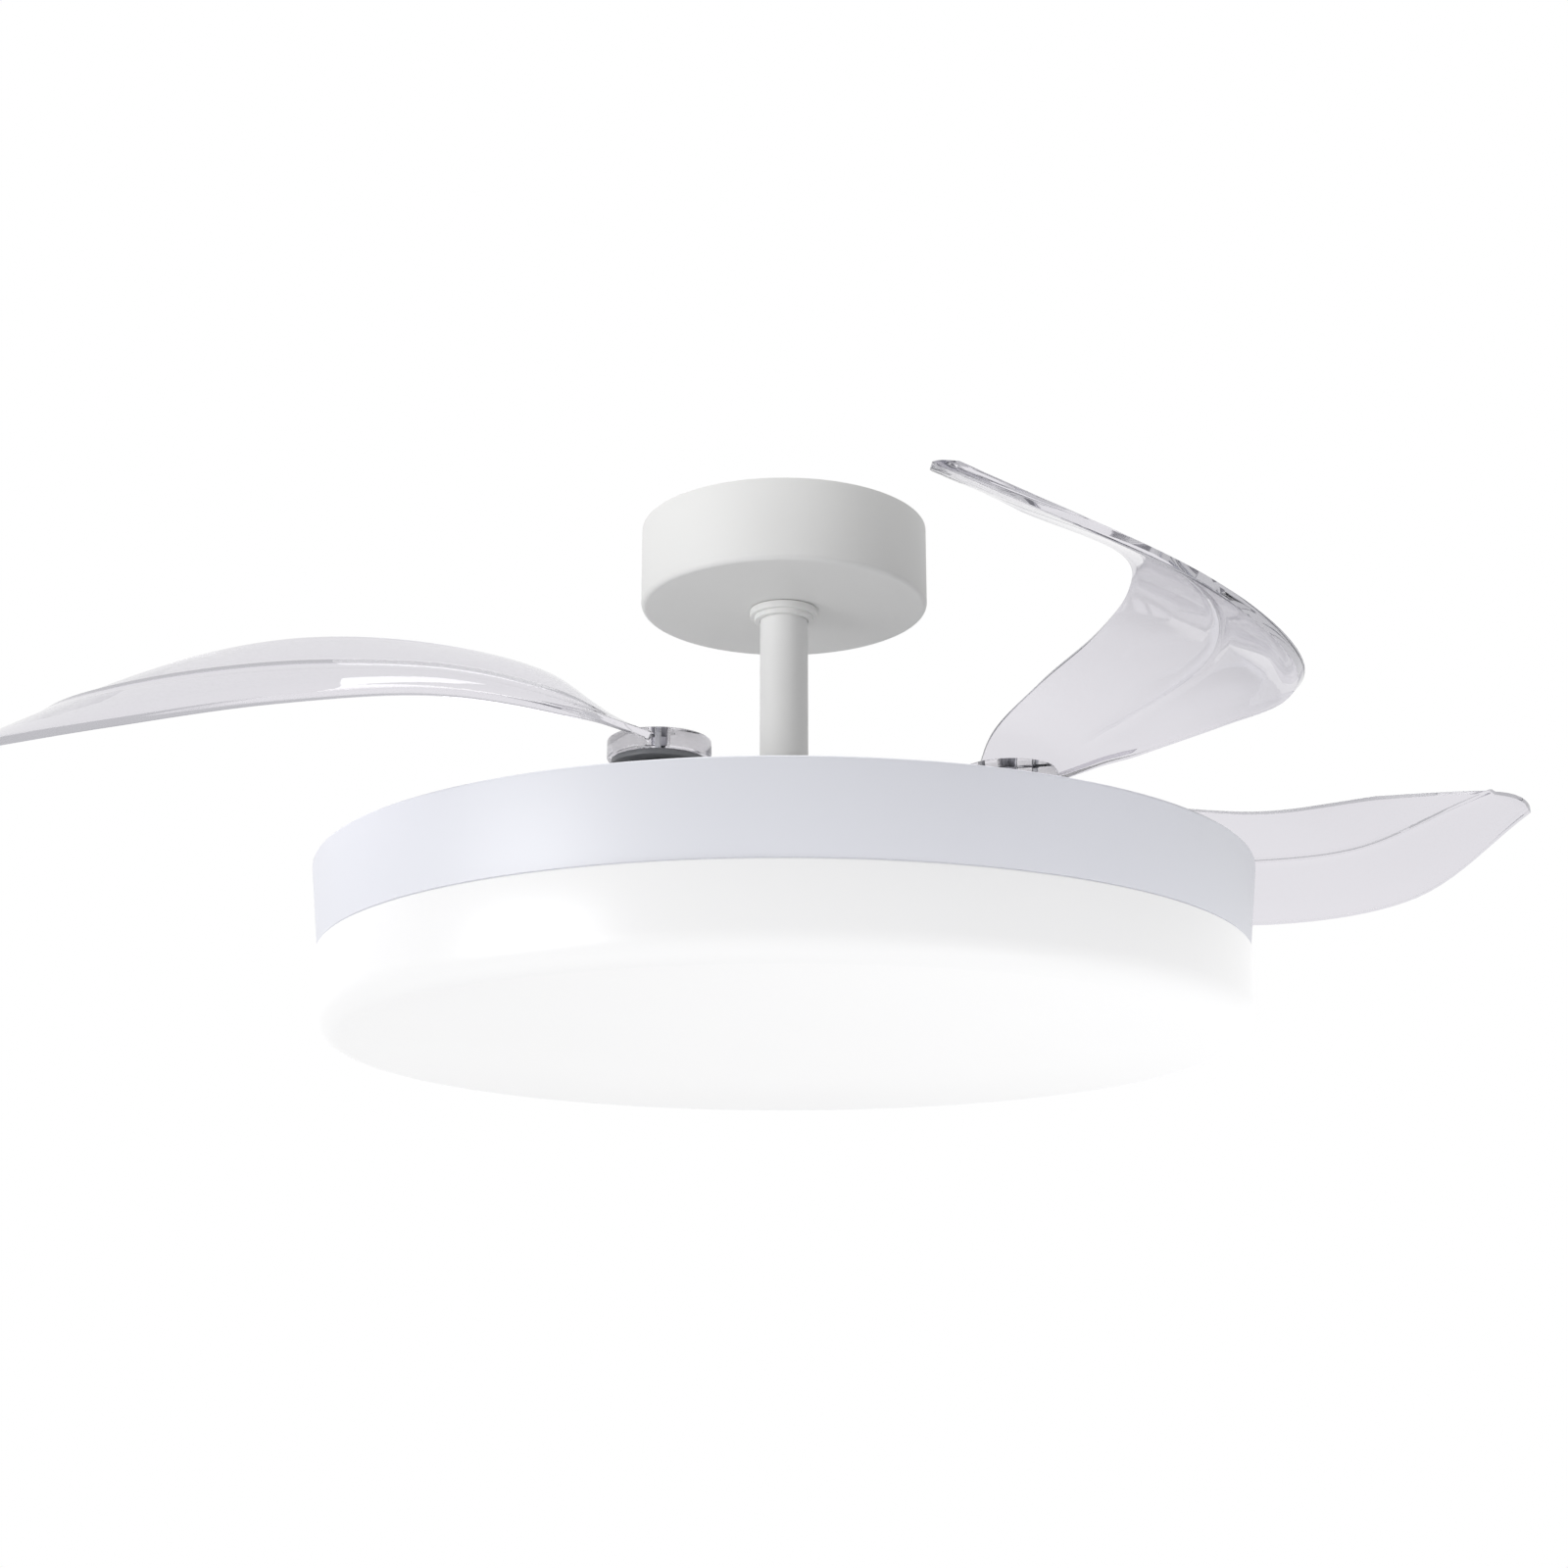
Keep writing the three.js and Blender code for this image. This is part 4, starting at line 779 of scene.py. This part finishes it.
def glass_material():
    """Clear polished plastic, with a painted shade that darkens its tint where it is seen edge on.

    Light that runs along inside the sheet is let out grey, where it would else be lost as black.
    """
    material = bpy.data.materials.new("clear_blade")
    material.use_nodes = True
    tree = material.node_tree
    shader = tree.nodes["Principled BSDF"]
    shader.inputs["Roughness"].default_value = GLASS_ROUGHNESS
    shader.inputs["IOR"].default_value = GLASS_IOR
    shader.inputs["Transmission Weight"].default_value = 1.0
    # Painted shade: the tint darkens from the facing colour to the edge-on colour as the sheet turns edge
    # on.
    facing = tree.nodes.new("ShaderNodeLayerWeight")
    facing.inputs["Blend"].default_value = GLASS_BLEND
    ramp = tree.nodes.new("ShaderNodeValToRGB")
    ramp.color_ramp.elements[0].color = GLASS_FACING
    ramp.color_ramp.elements[1].color = GLASS_EDGE_ON_PAINTED_SHADE
    tree.links.new(facing.outputs["Facing"], ramp.inputs["Fac"])
    tree.links.new(ramp.outputs["Color"], shader.inputs["Base Color"])
    path = tree.nodes.new("ShaderNodeLightPath")
    trapped = sum_node(tree, "GREATER_THAN", path.outputs["Ray Depth"], TRAPPED_DEPTH)
    straight = tree.nodes.new("ShaderNodeBsdfTransparent")
    straight.inputs["Color"].default_value = TRAPPED_GREY
    mix = tree.nodes.new("ShaderNodeMixShader")
    tree.links.new(trapped, mix.inputs["Fac"])
    tree.links.new(shader.outputs[0], mix.inputs[1])
    tree.links.new(straight.outputs[0], mix.inputs[2])
    tree.links.new(mix.outputs[0], tree.nodes["Material Output"].inputs["Surface"])
    return material


clear_plastic = glass_material()
boss_middle = (0, 0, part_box("blade_1_bush")[1].z + SLIDE_GAP + BOSS_HEIGHT / 2)

bpy.ops.object.select_all(action="DESELECT")
bpy.ops.mesh.primitive_grid_add(x_subdivisions=len(ACROSS) - 1, y_subdivisions=BLADE_ROWS, size=1)
blade = bpy.context.object
blade.name = "clear_blade_1"
bead = blade.vertex_groups.new(name="bead")
thin = SHEET_THICKNESS / BEAD_THICKNESS
for vertex in blade.data.vertices:
    row, column = divmod(vertex.index, len(ACROSS))
    vertex.co = sheet_point(row / BLADE_ROWS, ACROSS[column]) * MM + Vector(boss_middle)
    rim = smooth_step(ACROSS[column], BEAD_START, BEAD_FULL)
    bead.add([vertex.index], thin + (1 - thin) * rim, "REPLACE")
thicken = blade.modifiers.new("sheet", "SOLIDIFY")
thicken.thickness = BEAD_THICKNESS * MM
thicken.offset = 0
thicken.vertex_group = "bead"
bpy.ops.object.modifier_apply(modifier=thicken.name)
rounded(blade, EDGE_POLISH, 3, sharp=EDGE_SHARP)
boss = domed_disc(BOSS_RADIUS, BOSS_HEIGHT, boss_middle, BOSS_SIDES, BOSS_EASE, 4)
carved(blade, boss, "UNION")
bored(blade, BOSS_BORE, boss_middle, THROUGH, sides=BOSS_BORE_SIDES)
blade.select_set(True)
bpy.ops.object.shade_smooth_by_angle(angle=SMOOTH_ANGLE)

blades = [blade] + [copied(blade, f"clear_blade_{k}") for k in (2, 3, 4)]
for k, piece in enumerate(blades):
    pivot = middle_of(f"pivot_bolt_{k + 1}")
    pivot.z = 0
    piece.data.transform(Matrix.Translation(pivot) @ Matrix.Rotation(math.pi / 2 * k, 4, "Z"))
    dress(piece, clear_plastic, f"blade_{k + 1}", "clear_plastic", f"blade_{k + 1}")

# ---- Drum light: ring and pan ----
# The ring is rolled from sheet, drawn in a little towards its foot, and painted a cool white. A flat
# pan with a pressed groove closes its top under the blades and hangs on the shaft.
RING_WALL = 1.5 * MM
RING_TOP_ROUND = 1.5 * MM
RING_FOOT_ROUND = 0.4 * MM
RING_LIP = 14 * MM
RING_LIP_THICKNESS = 2 * MM
RING_LIP_ROUND = 0.5 * MM
RING_TAPER = 4.7 * MM
PAN_THICKNESS = 1.5 * MM
PAN_ROUND = 1.2 * MM
GROOVE_RADIUS = 196 * MM
GROOVE_DEPTH = 0.9 * MM
GROOVE_ROUND = 0.6 * MM
GROOVE_TOP = 6 * MM
GROOVE_FLOOR = 4.5 * MM
DRUM_STEPS = 240
PAN_STEPS = 200

ring_paint = skinned("satin_ring_paint", (0.775, 0.785, 0.84), 0.42, mottle=0.02, grain=1400.0, depth=0.02)
drum_radius = drum_high.x
ring_foot = drum_radius - RING_TAPER
light_ring = turned("light_ring_band", [
    (ring_foot, drum_low.z, RING_FOOT_ROUND),
    (drum_radius, drum_high.z, RING_TOP_ROUND),
    (drum_radius - RING_LIP, drum_high.z, RING_LIP_ROUND),
    (drum_radius - RING_LIP, drum_high.z - RING_LIP_THICKNESS, 0),
    (drum_radius - RING_TOP_ROUND - RING_WALL, drum_high.z - RING_LIP_THICKNESS, 0),
    (ring_foot - RING_WALL, drum_low.z, 0),
], steps=DRUM_STEPS)
dress(light_ring, ring_paint, "fixed", "ring_paint", "light_ring")

pan_low, pan_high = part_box("light_pan")
pan_radius = pan_high.x
groove_floor = pan_high.z - GROOVE_DEPTH
light_pan = turned("light_pan_plate", [
    (shaft_bore, pan_high.z, 0),
    (GROOVE_RADIUS - GROOVE_TOP, pan_high.z, GROOVE_ROUND),
    (GROOVE_RADIUS - GROOVE_FLOOR, groove_floor, GROOVE_ROUND),
    (GROOVE_RADIUS + GROOVE_FLOOR, groove_floor, GROOVE_ROUND),
    (GROOVE_RADIUS + GROOVE_TOP, pan_high.z, GROOVE_ROUND),
    (pan_radius, pan_high.z, PAN_ROUND),
    (pan_radius, pan_low.z, 0),
    (pan_radius - PAN_THICKNESS, pan_low.z, 0),
    (pan_radius - PAN_THICKNESS, pan_high.z - PAN_THICKNESS, 0),
    (shaft_bore, pan_high.z - PAN_THICKNESS, 0),
], steps=PAN_STEPS)
dress(light_pan, ring_paint, "fixed", "ring_paint", "light_pan")

# ---- Drum light: tray, LED board and driver ----
# The white tray hangs under the pan and carries the LED board, and the driver sits between them. The
# LEDs stand in two rings, each given as its share of the board's reach and its count, and each LED
# has a domed dot of yellow phosphor. Three spring clips on the tray hold the diffuser.
LED_ROWS = ((0.44, 8), (0.8, 14))
DOT_RADIUS = 2.1 * MM
DOT_DEPTH = 0.5 * MM
DOT_DOME = 0.2 * MM

solder_mask = skinned("solder_mask", (0.86, 0.86, 0.85), 0.35)
phosphor = skinned("led_phosphor", (0.80, 0.60, 0.10), 0.4, mottle=0.06)
formed("led_tray", canopy_paint, "white_paint", edge=0.8 * MM)
finish_node("led_board", solder_mask)
board_low, board_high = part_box("led_board")
dots = []
for share, count in LED_ROWS:
    for spot in ring_of(count, share * board_high.x, board_low.z):
        dots.append(domed_disc(DOT_RADIUS, DOT_DEPTH, spot, ROUND_SIDES, DOT_DOME, 2))
led_dots = joined(dots)
led_dots.name = "led_phosphor_dots"
dress(led_dots, phosphor, "fixed", "board")
formed("led_driver", white_moulding, "white_plastic", edge=1.0 * MM, segments=3)
for k in (1, 2, 3):
    formed(f"diffuser_clip_{k}", bright_steel, "steel", edge=0.4 * MM)

# ---- Drum light: diffuser ----
# An opal acrylic bowl, blown with a flat bottom and a round edge, and lit from inside. Its neck
# pushes up inside the ring until its shoulder meets the ring's foot, where a thin dark joint shows.
BOWL_WALL = 2 * MM
BOWL_ROUND = 14 * MM
BOWL_NECK_IN = 3 * MM
BOWL_SAG = 1.5 * MM
SHOULDER_ROUND = 0.4 * MM
JOINT_GAP = 0.9 * MM
BOWL_GLOW = 0.345

opal = skinned("opal_acrylic", (0.58, 0.58, 0.585), 0.3, mottle=0.01, drift=0.05, depth=0.01)
opal_shader = opal.node_tree.nodes["Principled BSDF"]
opal_shader.inputs["Emission Color"].default_value = WHITE
opal_shader.inputs["Emission Strength"].default_value = BOWL_GLOW
bowl_low, bowl_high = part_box("diffuser")
bowl_radius = bowl_high.x
neck_radius = bowl_radius - BOWL_NECK_IN
shoulder = drum_low.z - JOINT_GAP
bowl_floor = bowl_low.z + BOWL_SAG
diffuser = turned("diffuser_bowl", [
    (0, bowl_low.z, 0),
    (bowl_radius, bowl_floor, BOWL_ROUND),
    (bowl_radius, shoulder, SHOULDER_ROUND),
    (neck_radius, shoulder, 0),
    (neck_radius, bowl_high.z, 0),
    (neck_radius - BOWL_WALL, bowl_high.z, 0),
    (neck_radius - BOWL_WALL, shoulder - BOWL_WALL, 0),
    (bowl_radius - BOWL_WALL, shoulder - 2 * BOWL_WALL, 0),
    (bowl_radius - BOWL_WALL, bowl_floor + BOWL_WALL, BOWL_ROUND - BOWL_WALL),
    (0, bowl_low.z + BOWL_WALL, 0),
], steps=DRUM_STEPS, closed=False)
dress(diffuser, opal, "fixed", "opal_plastic", "diffuser")
